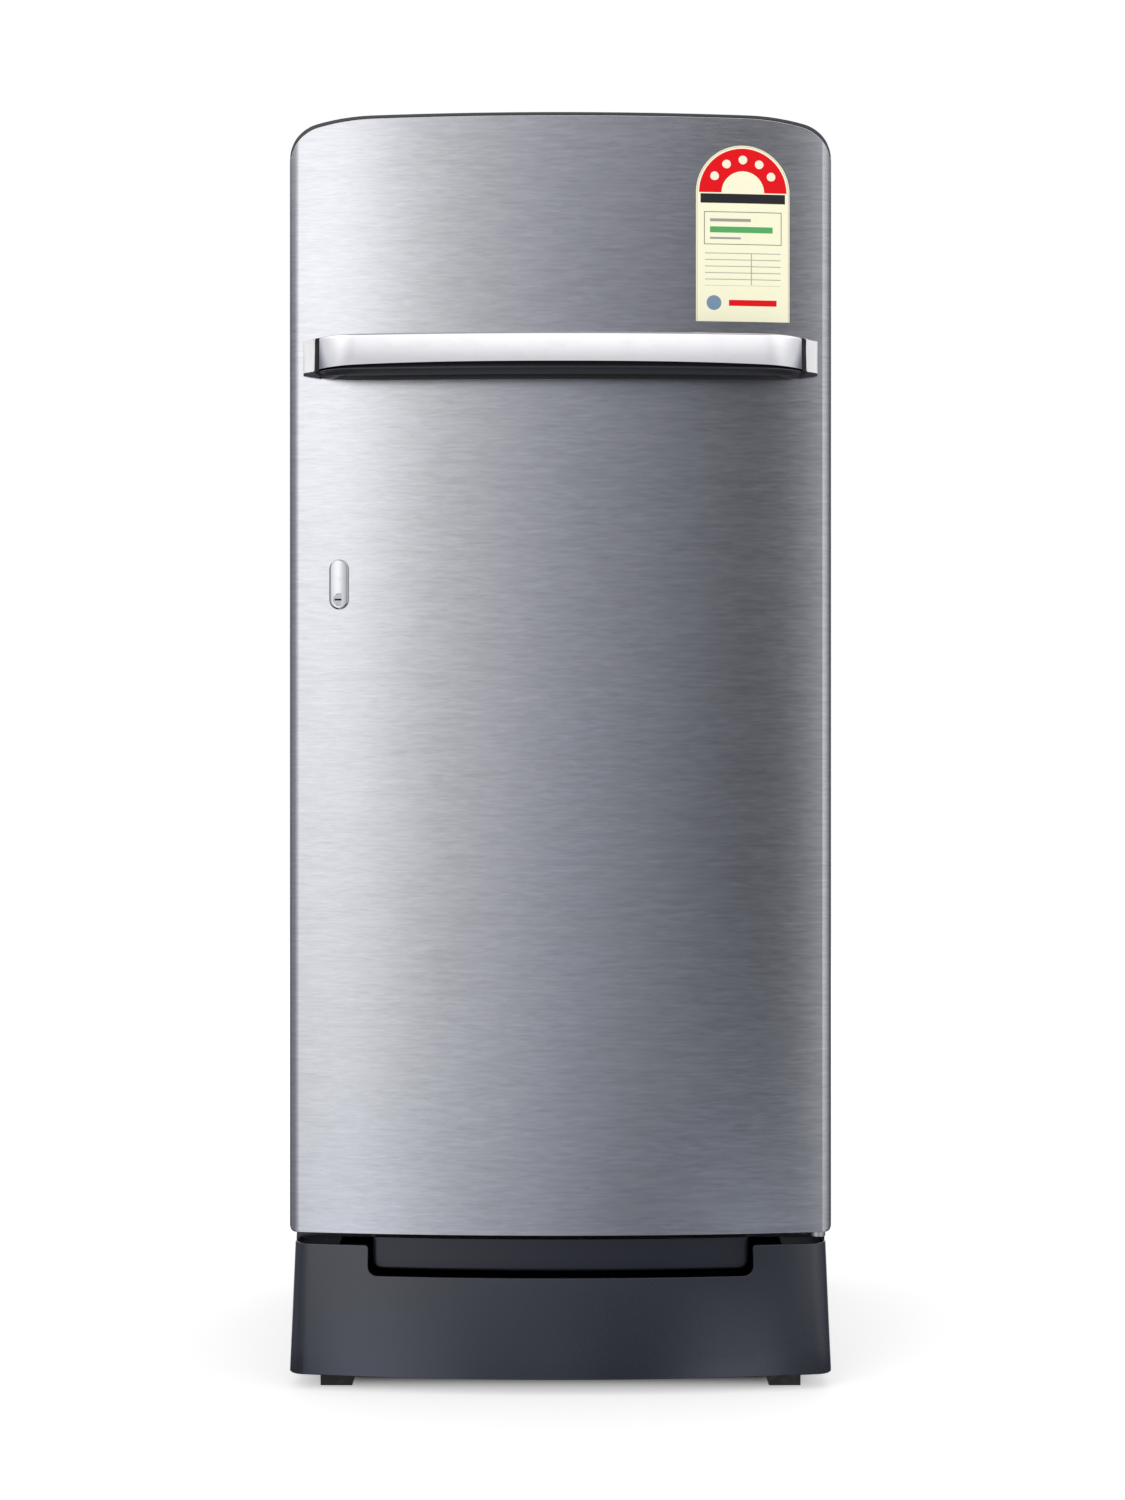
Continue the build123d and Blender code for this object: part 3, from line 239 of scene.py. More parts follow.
class Wire:
    """A value in a shader graph that ordinary arithmetic works on."""

    def __init__(self, graph: "Graph", socket: bpy.types.NodeSocket) -> None:
        """Keep the graph and the socket the value comes out of."""
        self.graph = graph
        self.socket = socket

    def _with(self, operation: str, *values: Any) -> "Wire":
        """The result of one Math node."""
        return self.graph.math(operation, *values)

    def __add__(self, other: "Value") -> "Wire":
        """The sum of both."""
        return self._with("ADD", self, other)

    __radd__ = __add__

    def __mul__(self, other: "Value") -> "Wire":
        """The product of both."""
        return self._with("MULTIPLY", self, other)

    __rmul__ = __mul__

    def __sub__(self, other: "Value") -> "Wire":
        """This less the other."""
        return self._with("SUBTRACT", self, other)

    def __rsub__(self, other: "Value") -> "Wire":
        """The other less this."""
        return self._with("SUBTRACT", other, self)

    def __truediv__(self, other: "Value") -> "Wire":
        """This over the other."""
        return self._with("DIVIDE", self, other)

    def __rtruediv__(self, other: "Value") -> "Wire":
        """The other over this."""
        return self._with("DIVIDE", other, self)

    def __neg__(self) -> "Wire":
        """The value with its sign turned."""
        return self._with("MULTIPLY", self, -1.0)

    def __abs__(self) -> "Wire":
        """The value without its sign."""
        return self._with("ABSOLUTE", self)

    def __pow__(self, other: "Value") -> "Wire":
        """This raised to the other."""
        return self._with("POWER", self, other)

    def __lt__(self, other: "Value") -> "Wire":
        """One where this is less than the other, else nought."""
        return self._with("LESS_THAN", self, other)

    def __gt__(self, other: "Value") -> "Wire":
        """One where this is more than the other, else nought."""
        return self._with("GREATER_THAN", self, other)

    def smooth(self, low: float, high: float, start: float = 0.0, end: float = 1.0) -> "Wire":
        """A smooth step from one level to another.

        Args:
            low: the value below which the level is start.
            high: the value above which the level is end.
            start: the first level.
            end: the last level.

        Returns:
            The level.
        """
        settings = {"interpolation_type": "SMOOTHSTEP", "clamp": True}
        inputs = {"Value": self, "From Min": low, "From Max": high, "To Min": start, "To Max": end}
        return self.graph.node("ShaderNodeMapRange", settings, inputs, "Result")


Value = Union[Wire, float, int]
Tint = Union[Wire, Colour]


class Graph:
    """A material's node tree, or the world's, built in code."""

    def __init__(self, tree: bpy.types.NodeTree) -> None:
        """Keep the tree and empty it.

        Args:
            tree: the node tree to fill.
        """
        self.tree = tree
        tree.nodes.clear()

    def node(self, kind: str, settings: Dict[str, Any], inputs: Dict[Any, Any], out: Any = 0) -> Wire:
        """Any node: its type, then its settings, then its inputs.

        Args:
            kind: the node's type.
            settings: attributes set on the node before its inputs.
            inputs: socket name or number, with a wire or a plain value.
            out: name or number of the output to return.

        Returns:
            The chosen output.
        """
        made = self.tree.nodes.new(kind)
        for key, setting in settings.items():
            setattr(made, key, setting)
        for key, value in inputs.items():
            socket = made.inputs[key]
            if isinstance(value, Wire):
                self.tree.links.new(value.socket, socket)
            elif isinstance(value, tuple) and socket.type == "RGBA":
                socket.default_value = (*value, 1.0)
            else:
                socket.default_value = value
        return Wire(self, made.outputs[out])

    def math(self, operation: str, *values: Value) -> Wire:
        """One Math node."""
        return self.node("ShaderNodeMath", {"operation": operation}, dict(enumerate(values)))

    def vector(self, operation: str, *values: Any) -> Wire:
        """One Vector Math node, by its vector output."""
        return self.node("ShaderNodeVectorMath", {"operation": operation}, dict(enumerate(values)))

    def place(self) -> Wire:
        """The point's place in its object, in metres."""
        return self.node("ShaderNodeTexCoord", {}, {}, "Object")

    def axes(self) -> Tuple[Wire, Wire, Wire]:
        """The point's x, y and z in its object.

        Returns:
            The three values, in metres.
        """
        split = self.node("ShaderNodeSeparateXYZ", {}, {"Vector": self.place()})
        outputs = split.socket.node.outputs
        return Wire(self, outputs[0]), Wire(self, outputs[1]), Wire(self, outputs[2])

    def noise(self, scale: Union[Place, float], detail: float, rough: float, warp: float = 0.0) -> Wire:
        """Noise between 0 and 1.

        Args:
            scale: waves per metre along each axis, or one number for all three.
            detail: how many finer layers it has.
            rough: how strong those layers are.
            warp: how much it is bent.

        Returns:
            The level.
        """
        stretch = scale if isinstance(scale, tuple) else (scale, scale, scale)
        inputs = {
            "Vector": self.vector("MULTIPLY", self.place(), stretch),
            "Scale": 1.0,
            "Detail": detail,
            "Roughness": rough,
            "Distortion": warp,
        }
        return self.node("ShaderNodeTexNoise", {}, inputs, "Fac")

    def cells(self, scale: float, out: str = "Distance") -> Wire:
        """Voronoi cells, their scale in cells per metre."""
        return self.node("ShaderNodeTexVoronoi", {}, {"Vector": self.place(), "Scale": scale}, out)

    def mix(self, factor: Value, first: Tint, second: Tint) -> Wire:
        """A colour between two others."""
        settings = {"data_type": "RGBA", "blend_type": "MIX"}
        return self.node("ShaderNodeMix", settings, {0: factor, 6: first, 7: second}, 2)

    def tinted(self, colour: Tint, level: Value) -> Wire:
        """A colour made lighter or darker.

        Args:
            colour: the colour.
            level: what it is multiplied by.

        Returns:
            The new colour.
        """
        grey = self.node("ShaderNodeCombineXYZ", {}, {0: level, 1: level, 2: level})
        base = colour if isinstance(colour, Wire) else tuple(colour)
        return self.vector("MULTIPLY", base, grey)

    def steps(self, factor: Value, stops: Sequence[Tuple[float, float]], top: float = 1.0) -> Wire:
        """A level read off a list of stops.

        Args:
            factor: the place among the stops, from 0 to 1.
            stops: place and level of each stop.
            top: the highest level that the stops can hold.

        Returns:
            The level, in a straight line from stop to stop.
        """
        ramp = self.node("ShaderNodeValToRGB", {}, {"Fac": factor}, "Color")
        band = ramp.socket.node.color_ramp
        band.interpolation = "LINEAR"
        band.elements[0].position = stops[0][0]
        band.elements[1].position = stops[-1][0]
        for position, _ in stops[1:-1]:
            band.elements.new(position)
        for element, (_, level) in zip(band.elements, stops):
            element.color = (level / top, level / top, level / top, 1.0)
        return ramp * top

    def bump(self, height: Wire, depth: float) -> Wire:
        """A normal tipped by a height.

        Args:
            height: the height, from 0 to 1.
            depth: what a height of 1 stands for, in metres.

        Returns:
            The normal.
        """
        inputs = {"Height": height, "Distance": depth, "Strength": 1.0}
        return self.node("ShaderNodeBump", {}, inputs, "Normal")

    def skin(self, inputs: Dict[str, Any]) -> Wire:
        """The Principled surface."""
        return self.node("ShaderNodeBsdfPrincipled", {}, inputs, 0)

    def close(self, surface: Wire, output: str = "ShaderNodeOutputMaterial") -> None:
        """Add the tree's output and join the surface to it."""
        end = self.tree.nodes.new(output)
        self.tree.links.new(surface.socket, end.inputs["Surface"])


@dataclass(frozen=True)
class Finish:
    """What every finish has: a name, a colour and a roughness."""

    name: str
    colour: Colour
    roughness: float

    def build(self) -> bpy.types.Material:
        """The finish as a material.

        Returns:
            The material, made once and used again for the same finish.
        """
        label = "finish_" + self.name
        known = bpy.data.materials.get(label)
        if known is not None:
            return known
        material = bpy.data.materials.new(label)
        material.use_nodes = True
        graph = Graph(material.node_tree)
        graph.close(self.surface(graph))
        return material

    def surface(self, graph: Graph) -> Wire:
        """The finish's surface in a graph."""
        raise NotImplementedError


@dataclass(frozen=True)
class Brushed(Finish):
    """Bare metal with a fine grain along one way."""

    grain: float = 0.26
    spread: float = 0.55
    turn: float = 0.25
    along: Place = (58.0, 58.0, 430.0)
    coarse: Place = (20.0, 20.0, 160.0)

    def surface(self, graph: Graph) -> Wire:
        """Streaks in two sizes change the colour, the roughness and the normal a little.

        Args:
            graph: the material's graph.

        Returns:
            The surface.
        """
        fine = graph.noise(self.along, 4.0, 0.62, 0.35) - 0.5
        broad = graph.noise(self.coarse, 3.0, 0.5) - 0.5
        streak = fine * 0.8 + broad * 0.35
        patch = graph.noise(3.0, 3.0, 0.5) - 0.5
        colour = graph.tinted(self.colour, streak * self.grain * 2.0 + patch * 0.03 + 1.0)
        return graph.skin(
            {
                "Base Color": colour,
                "Metallic": 1.0,
                "Roughness": streak * 0.06 + patch * 0.04 + self.roughness,
                "Anisotropic": self.spread,
                "Anisotropic Rotation": self.turn,
                "Normal": graph.bump(streak, 0.000006),
            }
        )


@dataclass(frozen=True)
class Moulded(Finish):
    """Plastic from a mould or paint on sheet, with a fine texture on it."""

    pitch: float = 1400.0
    depth: float = 0.00002
    vary: float = 0.05
    coat: float = 0.0
    dust: float = 0.0

    def surface(self, graph: Graph) -> Wire:
        """Grain of one size for the mould's texture, patches for handling, dust in patches.

        Args:
            graph: the material's graph.

        Returns:
            The surface.
        """
        grain = graph.noise(self.pitch, 2.0, 0.5)
        patch = graph.noise(9.0, 4.0, 0.6) - 0.5
        tone = patch * self.vary + grain * self.vary * 0.5 + (1.0 - self.vary * 0.25)
        colour = graph.tinted(self.colour, tone)
        if self.dust:
            film = graph.noise(60.0, 5.0, 0.65).smooth(0.45, 0.8, 0.0, self.dust)
            colour = graph.mix(film, colour, (0.42, 0.40, 0.37))
        inputs = {
            "Base Color": colour,
            "Roughness": patch * 0.12 + grain * 0.06 + (self.roughness - 0.03),
            "Normal": graph.bump(grain, self.depth),
        }
        if self.coat:
            inputs["Coat Weight"] = self.coat
            inputs["Coat Roughness"] = 0.12
        return graph.skin(inputs)


@dataclass(frozen=True)
class Chromed(Finish):
    """Bright plating with faint smudges and a little waviness."""

    wave: float = 0.00003

    def surface(self, graph: Graph) -> Wire:
        """Smudges change the roughness and a slow wave the normal.

        Args:
            graph: the material's graph.

        Returns:
            The surface.
        """
        smudge = graph.noise((35.0, 35.0, 60.0), 5.0, 0.6).smooth(0.42, 0.75)
        slow = graph.noise(18.0, 1.0, 0.4)
        return graph.skin(
            {
                "Base Color": graph.tinted(self.colour, 1.0 - smudge * 0.05),
                "Metallic": 1.0,
                "Roughness": smudge * 0.06 + self.roughness,
                "Normal": graph.bump(slow, self.wave),
            }
        )


@dataclass(frozen=True)
class Plated(Finish):
    """Zinc-coated sheet with its crystal pattern, or drawn metal."""

    size: float = 90.0

    def surface(self, graph: Graph) -> Wire:
        """Each crystal has a level of its own, and fine lines run through all of them.

        Args:
            graph: the material's graph.

        Returns:
            The surface.
        """
        crystal = graph.node("ShaderNodeSeparateColor", {}, {"Color": graph.cells(self.size, "Color")})
        lines = graph.noise((900.0, 900.0, 60.0), 2.0, 0.5) - 0.5
        level = crystal * 0.22 + lines * 0.12 + 0.86
        return graph.skin(
            {
                "Base Color": graph.tinted(self.colour, level),
                "Metallic": 1.0,
                "Roughness": crystal * 0.14 + lines * 0.08 + self.roughness,
                "Normal": graph.bump(crystal + lines, 0.00001),
            }
        )


@dataclass(frozen=True)
class Clear(Finish):
    """Thin see-through plastic or glass, which hides a little of what is behind it."""

    veil: float = 0.16
    edge: float = 0.5

    def surface(self, graph: Graph) -> Wire:
        """Smears and scratches veil it a little, and it hides more where it is seen from its edge: a painted
        sheen for the stronger reflection at grazing angles.

        Args:
            graph: the material's graph.

        Returns:
            The surface.
        """
        smear = graph.noise(25.0, 5.0, 0.6).smooth(0.45, 0.8)
        scratch = graph.noise((400.0, 30.0, 400.0), 2.0, 0.5).smooth(0.68, 0.75)
        grazing_sheen = graph.node("ShaderNodeLayerWeight", {}, {"Blend": 0.4}, "Facing")
        return graph.skin(
            {
                "Base Color": graph.tinted(self.colour, 1.0 - smear * 0.02),
                "Roughness": smear * 0.08 + scratch * 0.1 + self.roughness,
                # Alpha grows where the sheet is seen from its edge: a painted sheen for the stronger
                # reflection at grazing angles.
                "Alpha": grazing_sheen**2.0 * self.edge + smear * 0.03 + scratch * 0.08 + self.veil,
                "Normal": graph.bump(scratch, 0.000004),
            }
        )


@dataclass(frozen=True)
class Cellular(Finish):
    """Rigid foam, its cells cut open."""

    def surface(self, graph: Graph) -> Wire:
        """Two sizes of cells pit the surface, and their pattern darkens the colour: painted shade in the
        pits.

        Args:
            graph: the material's graph.

        Returns:
            The surface.
        """
        fine, large = graph.cells(900.0), graph.cells(250.0)
        pits = fine * 0.6 + large * 0.4
        tone = graph.noise(12.0, 4.0, 0.6) - 0.5
        return graph.skin(
            {
                # The cell pattern darkens the colour: painted shade in the pits.
                "Base Color": graph.tinted(self.colour, tone * 0.2 + pits * -0.35 + 1.1),
                "Roughness": pits * 0.1 + self.roughness,
                "Normal": graph.bump(pits, 0.0004),
            }
        )


@dataclass(frozen=True)
class Printed(Finish):
    """A printed sheet without words: a red arch with pale dots over plain fields, in millimetres."""

    centre: Tuple[float, float] = (182.0, 1199.0)
    arch: Tuple[float, float] = (21.4, 44.0)
    dot: float = 4.3
    apart: float = 30.0

    def surface(self, graph: Graph) -> Wire:
        """Masks of the place on the sheet, from the arch's centre, pick the inks.

        The dots lie on the arch's middle line: a place's turn round the centre, less the nearest
        whole step, gives its distance along the arch from the nearest dot.

        Args:
            graph: the material's graph.

        Returns:
            The surface.
        """
        across, _, up = graph.axes()
        x, z = across / MM - self.centre[0], up / MM - self.centre[1]
        side = abs(x)

        def within(value: Wire, low: float, high: float) -> Wire:
            """One between two bounds, else nought."""
            return (value > low) * (value < high)

        ring = (x * x + z * z) ** 0.5
        turn = graph.math("ARCTAN2", z, x) / math.radians(self.apart)
        nearest = graph.math("ROUND", turn)
        middle = (self.arch[0] + self.arch[1]) / 2
        along = (turn - nearest) * (middle * math.radians(self.apart))
        off = along * along + (ring - middle) * (ring - middle)
        spot = (off < self.dot**2) * within(nearest, 0.5, 5.5)
        tooth = graph.noise(90.0, 3.0, 0.5)
        colour = graph.tinted(self.colour, tooth * 0.02 + 0.99)
        rules = (graph.math("FRACT", (z + 100.0) / 6.5) < 0.13) * within(z, -93.0, -58.0) * (side < 38.0)
        post = within(x, 8.0, 9.0) * within(z, -92.0, -60.2)
        outline = (side < 39.0) * within(z, -52.0, -19.0) - (side < 38.2) * within(z, -51.2, -19.8)
        seal_x, seal_z = x + 29.0, z + 110.0
        seal = (seal_x * seal_x + seal_z * seal_z) < 7.4**2
        margin = within(side, 45.6, 46.1) * (z < 0.0) + within(ring, 45.6, 46.1) * (z > 0.0)
        red, grey = (0.80, 0.006, 0.012), (0.36, 0.35, 0.33)
        inks = (
            (within(ring, *self.arch) * (z > 0.0), red),
            (spot, (0.96, 0.90, 0.72)),
            (within(z, -10.6, -1.2) * (side < 42.5), (0.025, 0.024, 0.028)),
            (outline, (0.22, 0.21, 0.19)),
            (within(z, -40.0, -34.0) * within(x, -33.0, 30.0), (0.10, 0.42, 0.13)),
            (within(z, -29.0, -26.0) * within(x, -33.0, 8.0), grey),
            (within(z, -46.5, -44.5) * within(x, -33.0, -2.0), grey),
            (rules + post, (0.42, 0.41, 0.38)),
            (seal, (0.20, 0.30, 0.42)),
            (within(z, -113.0, -107.0) * within(x, -14.0, 34.0), red),
            (margin, (0.45, 0.42, 0.33)),
        )
        for mask, ink in inks:
            colour = graph.mix(graph.math("MINIMUM", mask, 1.0), colour, ink)
        roughness = tooth * 0.1 + self.roughness
        return graph.skin({"Base Color": colour, "Roughness": roughness, "Specular IOR Level": 0.12})


FINISHES: Dict[str, Finish] = {
    "door_steel": Brushed("brushed_steel", (0.62, 0.625, 0.645), 0.24),
    "cabinet_paint": Moulded(
        "cabinet_paint", (0.30, 0.305, 0.32), 0.38, pitch=420.0, depth=0.00004, coat=0.25
    ),
    "plated_steel": Plated("plated_steel", (0.72, 0.73, 0.74), 0.30),
    "chrome": Chromed("chrome", (0.88, 0.88, 0.90), 0.08),
    "lock_chrome": Chromed("lock_chrome", (0.68, 0.68, 0.70), 0.16, wave=0.00002),
    "black_plastic": Moulded("black_plastic", (0.016, 0.016, 0.019), 0.42),
    "base_plastic": Moulded("base_plastic", (0.0162, 0.0184, 0.0285), 0.26, depth=0.000008, coat=0.9),
    "rail_plastic": Moulded("rail_plastic", (0.012, 0.0138, 0.0245), 0.30, depth=0.00001, coat=0.3),
    "white_plastic": Moulded(
        "white_plastic", (0.80, 0.82, 0.82), 0.34, pitch=500.0, depth=0.00001, vary=0.015
    ),
    "clear_plastic": Clear("clear_plastic", (0.72, 0.78, 0.80), 0.05),
    "glass": Clear("glass", (0.62, 0.76, 0.70), 0.02, veil=0.12, edge=0.6),
    "foam": Cellular("foam", (0.72, 0.62, 0.36), 0.85),
    "seal_rubber": Moulded("seal_rubber", (0.34, 0.345, 0.355), 0.55, pitch=900.0),
    "black_rubber": Moulded("black_rubber", (0.02, 0.02, 0.02), 0.7, pitch=700.0, depth=0.00005, dust=0.12),
    "aluminium": Plated("aluminium", (0.80, 0.81, 0.82), 0.32, size=300.0),
    "black_metal": Moulded(
        "black_metal", (0.012, 0.012, 0.013), 0.30, pitch=300.0, depth=0.00006, coat=0.5, dust=0.10
    ),
    "copper": Plated("copper", (0.80, 0.42, 0.27), 0.28, size=60.0),
    "label_paper": Printed("label_paper", (0.97, 0.95, 0.70), 0.42),
    "button_plastic": Moulded("button_plastic", (0.60, 0.08, 0.05), 0.35, vary=0.03),
}

RIM = Moulded("rim_plastic", (0.02, 0.02, 0.024), 0.22)
SATIN = Moulded("satin_silver", (0.84, 0.84, 0.86), 0.24, pitch=600.0, depth=0.000006, vary=0.02, coat=0.5)
CAPS = Moulded("cap_plastic", (0.05, 0.05, 0.055), 0.4)
MATT = Moulded("matt_black", (0.004, 0.004, 0.005), 0.75, depth=0.00001)

OWN_FINISH: Dict[str, Finish] = {"door_top_cap": CAPS, "lock_cylinder": FINISHES["chrome"]}


@dataclass(frozen=True)
class BowedPlan:
    """A plan with a bowed front and two rounded front corners, in millimetres."""

    half: float
    face_y: float
    back_y: float
    bow_r: float
    corner_r: float

    def corner(self) -> Tuple[float, float]:
        """Centre of the right corner's arc: it touches the side and, from inside, the bow."""
        reach = math.sqrt((self.bow_r - self.corner_r) ** 2 - (self.half - self.corner_r) ** 2)
        return self.half - self.corner_r, self.face_y + self.bow_r - reach

    def face(self, x: Any) -> np.ndarray:
        """The front's y at a distance from the middle, on the bow or on a corner's arc.

        Args:
            x: the distance, to either side.

        Returns:
            The y of each.
        """
        side = np.abs(np.asarray(x, float))
        centre_x, centre_y = self.corner()
        bow = self.face_y + self.bow_r - np.sqrt(self.bow_r**2 - side**2)
        edge = centre_y - np.sqrt(np.maximum(self.corner_r**2 - (side - centre_x) ** 2, 0))
        meet = self.bow_r * (self.half - self.corner_r) / (self.bow_r - self.corner_r)
        return np.where(side > meet, edge, bow)

    def path(self, stations: np.ndarray, inset: float = 0.0, lip: float = 0.0, steps: int = 14) -> np.ndarray:
        """The plan from its right back corner round the front to its left one.

        Along the bow a point is bow_r * (sin a, -cos a) from the bow's centre, along a corner
        corner_r * (cos b, -sin b) from the corner's, both with the inset taken off the radius.

        Args:
            stations: distances from the middle along the bow, rising from 0.
            inset: distance inside the outer face.
            lip: length of a return along the back at each side.
            steps: points on each corner.

        Returns:
            Rows of x and y.
        """
        angle = np.arcsin(stations / self.bow_r)
        radius = self.bow_r - inset
        bow = np.stack([radius * np.sin(angle), self.face_y + self.bow_r - radius * np.cos(angle)], 1)
        centre = np.array(self.corner())
        last = math.asin((self.half - self.corner_r) / (self.bow_r - self.corner_r))
        turn = np.linspace(0, math.pi / 2 - last, steps)[:, None]
        arc = centre + (self.corner_r - inset) * np.concatenate([np.cos(turn), -np.sin(turn)], 1)
        back = np.array([[self.half - inset, self.back_y - (inset if lip else 0.0)]])
        if lip:
            back = np.concatenate([back - [[lip, 0.0]], back])
            back[0, 0] = self.half - lip
        right = np.concatenate([back, arc, bow[::-1]])
        left = right[::-1] * np.array([-1.0, 1.0])
        return np.concatenate([right, left[1:]] if stations[0] == 0 else [right, left])


@dataclass(frozen=True)
class Outline:
    """The door's front outline; each half of its top is three arcs that touch: crown, shoulder, corner."""

    half: float
    low: float
    high: float
    low_r: float
    corner_r: float
    shoulder_r: float = 240.0
    shoulder_start: float = 0.5
    shoulder_end: float = 14.0

    def top(self, x: np.ndarray) -> np.ndarray:
        """The upper edge's z at a distance x from the middle.

        Each arc ends where the next one starts with the same slope, so an arc's centre lies off
        its start by its radius along the slope's normal; the crown's radius is what reaches the side.

        Args:
            x: distances from the middle, to either side.

        Returns:
            The height of each.
        """
        side = np.minimum(np.abs(x), self.half)
        first, second = math.radians(self.shoulder_start), math.radians(self.shoulder_end)
        corner_x = self.half - self.corner_r
        shoulder_x = corner_x + (self.corner_r - self.shoulder_r) * math.sin(second)
        crown_r = self.shoulder_r + shoulder_x / math.sin(first)
        crown_z = self.high - crown_r
        shoulder_z = crown_z + (crown_r - self.shoulder_r) * math.cos(first)
        corner_z = shoulder_z + (self.shoulder_r - self.corner_r) * math.cos(second)

        def arc(radius: float, centre_x: float, centre_z: float) -> np.ndarray:
            """An arc's upper half."""
            return centre_z + np.sqrt(np.maximum(radius**2 - (side - centre_x) ** 2, 0))

        past_crown = side > crown_r * math.sin(first)
        past_shoulder = side > shoulder_x + self.shoulder_r * math.sin(second)
        level = np.where(past_crown, arc(self.shoulder_r, shoulder_x, shoulder_z), arc(crown_r, 0.0, crown_z))
        return np.where(past_shoulder, arc(self.corner_r, corner_x, corner_z), level)

    def corner_z(self) -> float:
        """Height at which the upper corner's arc leaves the side."""
        return float(self.top(np.array([self.half]))[0])

    def side(self, z: np.ndarray) -> np.ndarray:
        """Half the width at a height: the side less what the lower or upper corner's arc takes off.

        Args:
            z: heights.

        Returns:
            Half the width at each.
        """
        above = np.clip(z - self.corner_z(), 0, self.corner_r)
        below = np.clip(self.low + self.low_r - z, 0, self.low_r)
        off = self.corner_r - np.sqrt(self.corner_r**2 - above**2)
        return self.half - off - self.low_r + np.sqrt(self.low_r**2 - below**2)


DOOR_PLAN = BowedPlan(272.5, -288.0, -222.0, 1728.0, 12.0)
DOOR_OUTLINE = Outline(272.5, 160.0, 1277.3, 7.0, 38.0)
CAP_INNER = Outline(272.5, 160.0, 1274.8, 1.0, 40.5)


def hang(
    name: str,
    form: Form,
    slot: str,
    body: str,
    *nodes: str,
    finish: Optional[Finish] = None,
    sharp: float = SHARP,
) -> None:
    """Make a piece, give it its slot's finish and let it ride on its body.

    Args:
        name: the piece's name.
        form: its mesh.
        slot: its material slot in the record.
        body: the body it moves with.
        nodes: the CAD nodes it stands for.
        finish: a finish other than its slot's.
        sharp: edges that turn by more degrees than this stay sharp.
    """
    thing = make_object(name, form, (finish or FINISHES[slot]).build(), sharp)
    weighted = thing.modifiers.new("even_shading", "WEIGHTED_NORMAL")
    weighted.keep_sharp = True
    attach(thing, body)
    if nodes:
        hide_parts(*nodes)
    LOG.info("%s: %d faces", name, len(form.counts))


@dataclass(frozen=True)
class DoorSkin:
    """The door's bent steel sheet."""

    sheet: float = 0.8
    roll: float = 1.1
    lip: float = 6.3
    foot: float = 160.1
    over_cap: float = 0.06
    tuck: float = 1.9
    play: float = 0.05
    even_to: float = 225.0
    bow_end: float = 262.4
    cap_low: float = 1239.3
    notch_y: float = -258.5
    notch_low: float = 1249.5

    def form(self) -> Form:
        """Sections of the sheet, one for each place along the plan.

        A section runs up the outer face, turns in over a small radius under the cap's band, and
        comes down the inner face. Its top follows the band's inner outline, and at the sides it
        stays inside the door's rounded outline. Its foot laps over the lower cap.

        Returns:
            The sheet, closed.
        """
        dense = np.linspace(self.even_to + 3.0, self.bow_end, 22)
        stations = np.concatenate([np.linspace(0, self.even_to, 46), dense])
        outer = DOOR_PLAN.path(stations, 0.0, self.lip)
        across = outer[:, 0]
        limit = np.where(outer[:, 1] > self.notch_y, self.notch_low, NO_LIMIT)
        top = np.minimum(np.maximum(CAP_INNER.top(across), self.cap_low), limit) - self.play
        turn = quarter(5)
        foot = self.foot + self.play + np.array([0.0, 1.0, 2.2, 3.6, 5.2])
        head = DOOR_OUTLINE.corner_z() + np.array([-0.2, 1.8, 3.6])
        flare = -self.over_cap * np.array([1.0, 1.0, 1.0, 0.5, 0.0])
        roll = self.roll * (1 - np.cos(turn))
        inner = [self.tuck, self.tuck, self.sheet, self.sheet, self.sheet]
        inset = np.concatenate([flare, 0 * head, roll, inner])
        drop = np.concatenate([self.roll * (1 - np.sin(turn)), [0.0, self.sheet, self.sheet * 1.6]])
        rings = np.empty((len(across), len(inset), 3))
        rings[:, :8, 2] = np.concatenate([foot, head])
        rings[:, 8:16, 2] = top[:, None] - drop[None, :]
        rings[:, 16, 2] = foot[-1]
        rings[:, 17, 2] = foot[0]
        for k, depth in enumerate(inset):
            rings[:, k, :2] = DOOR_PLAN.path(stations, float(depth), self.lip)
        reach = DOOR_OUTLINE.side(rings[..., 2]) - inset[None, :]
        held = np.sign(rings[..., 0]) * np.minimum(np.abs(rings[..., 0]), reach)
        near_side = np.abs(across)[:, None] > DOOR_PLAN.corner()[0]
        rings[..., 0] = np.where(near_side, held, rings[..., 0])
        return loft(rings)

    def build(self) -> None:
        """Hang the sheet on the door."""
        hang("door_steel_sheet", self.form(), "door_steel", "door", "door_skin", sharp=CRISP)


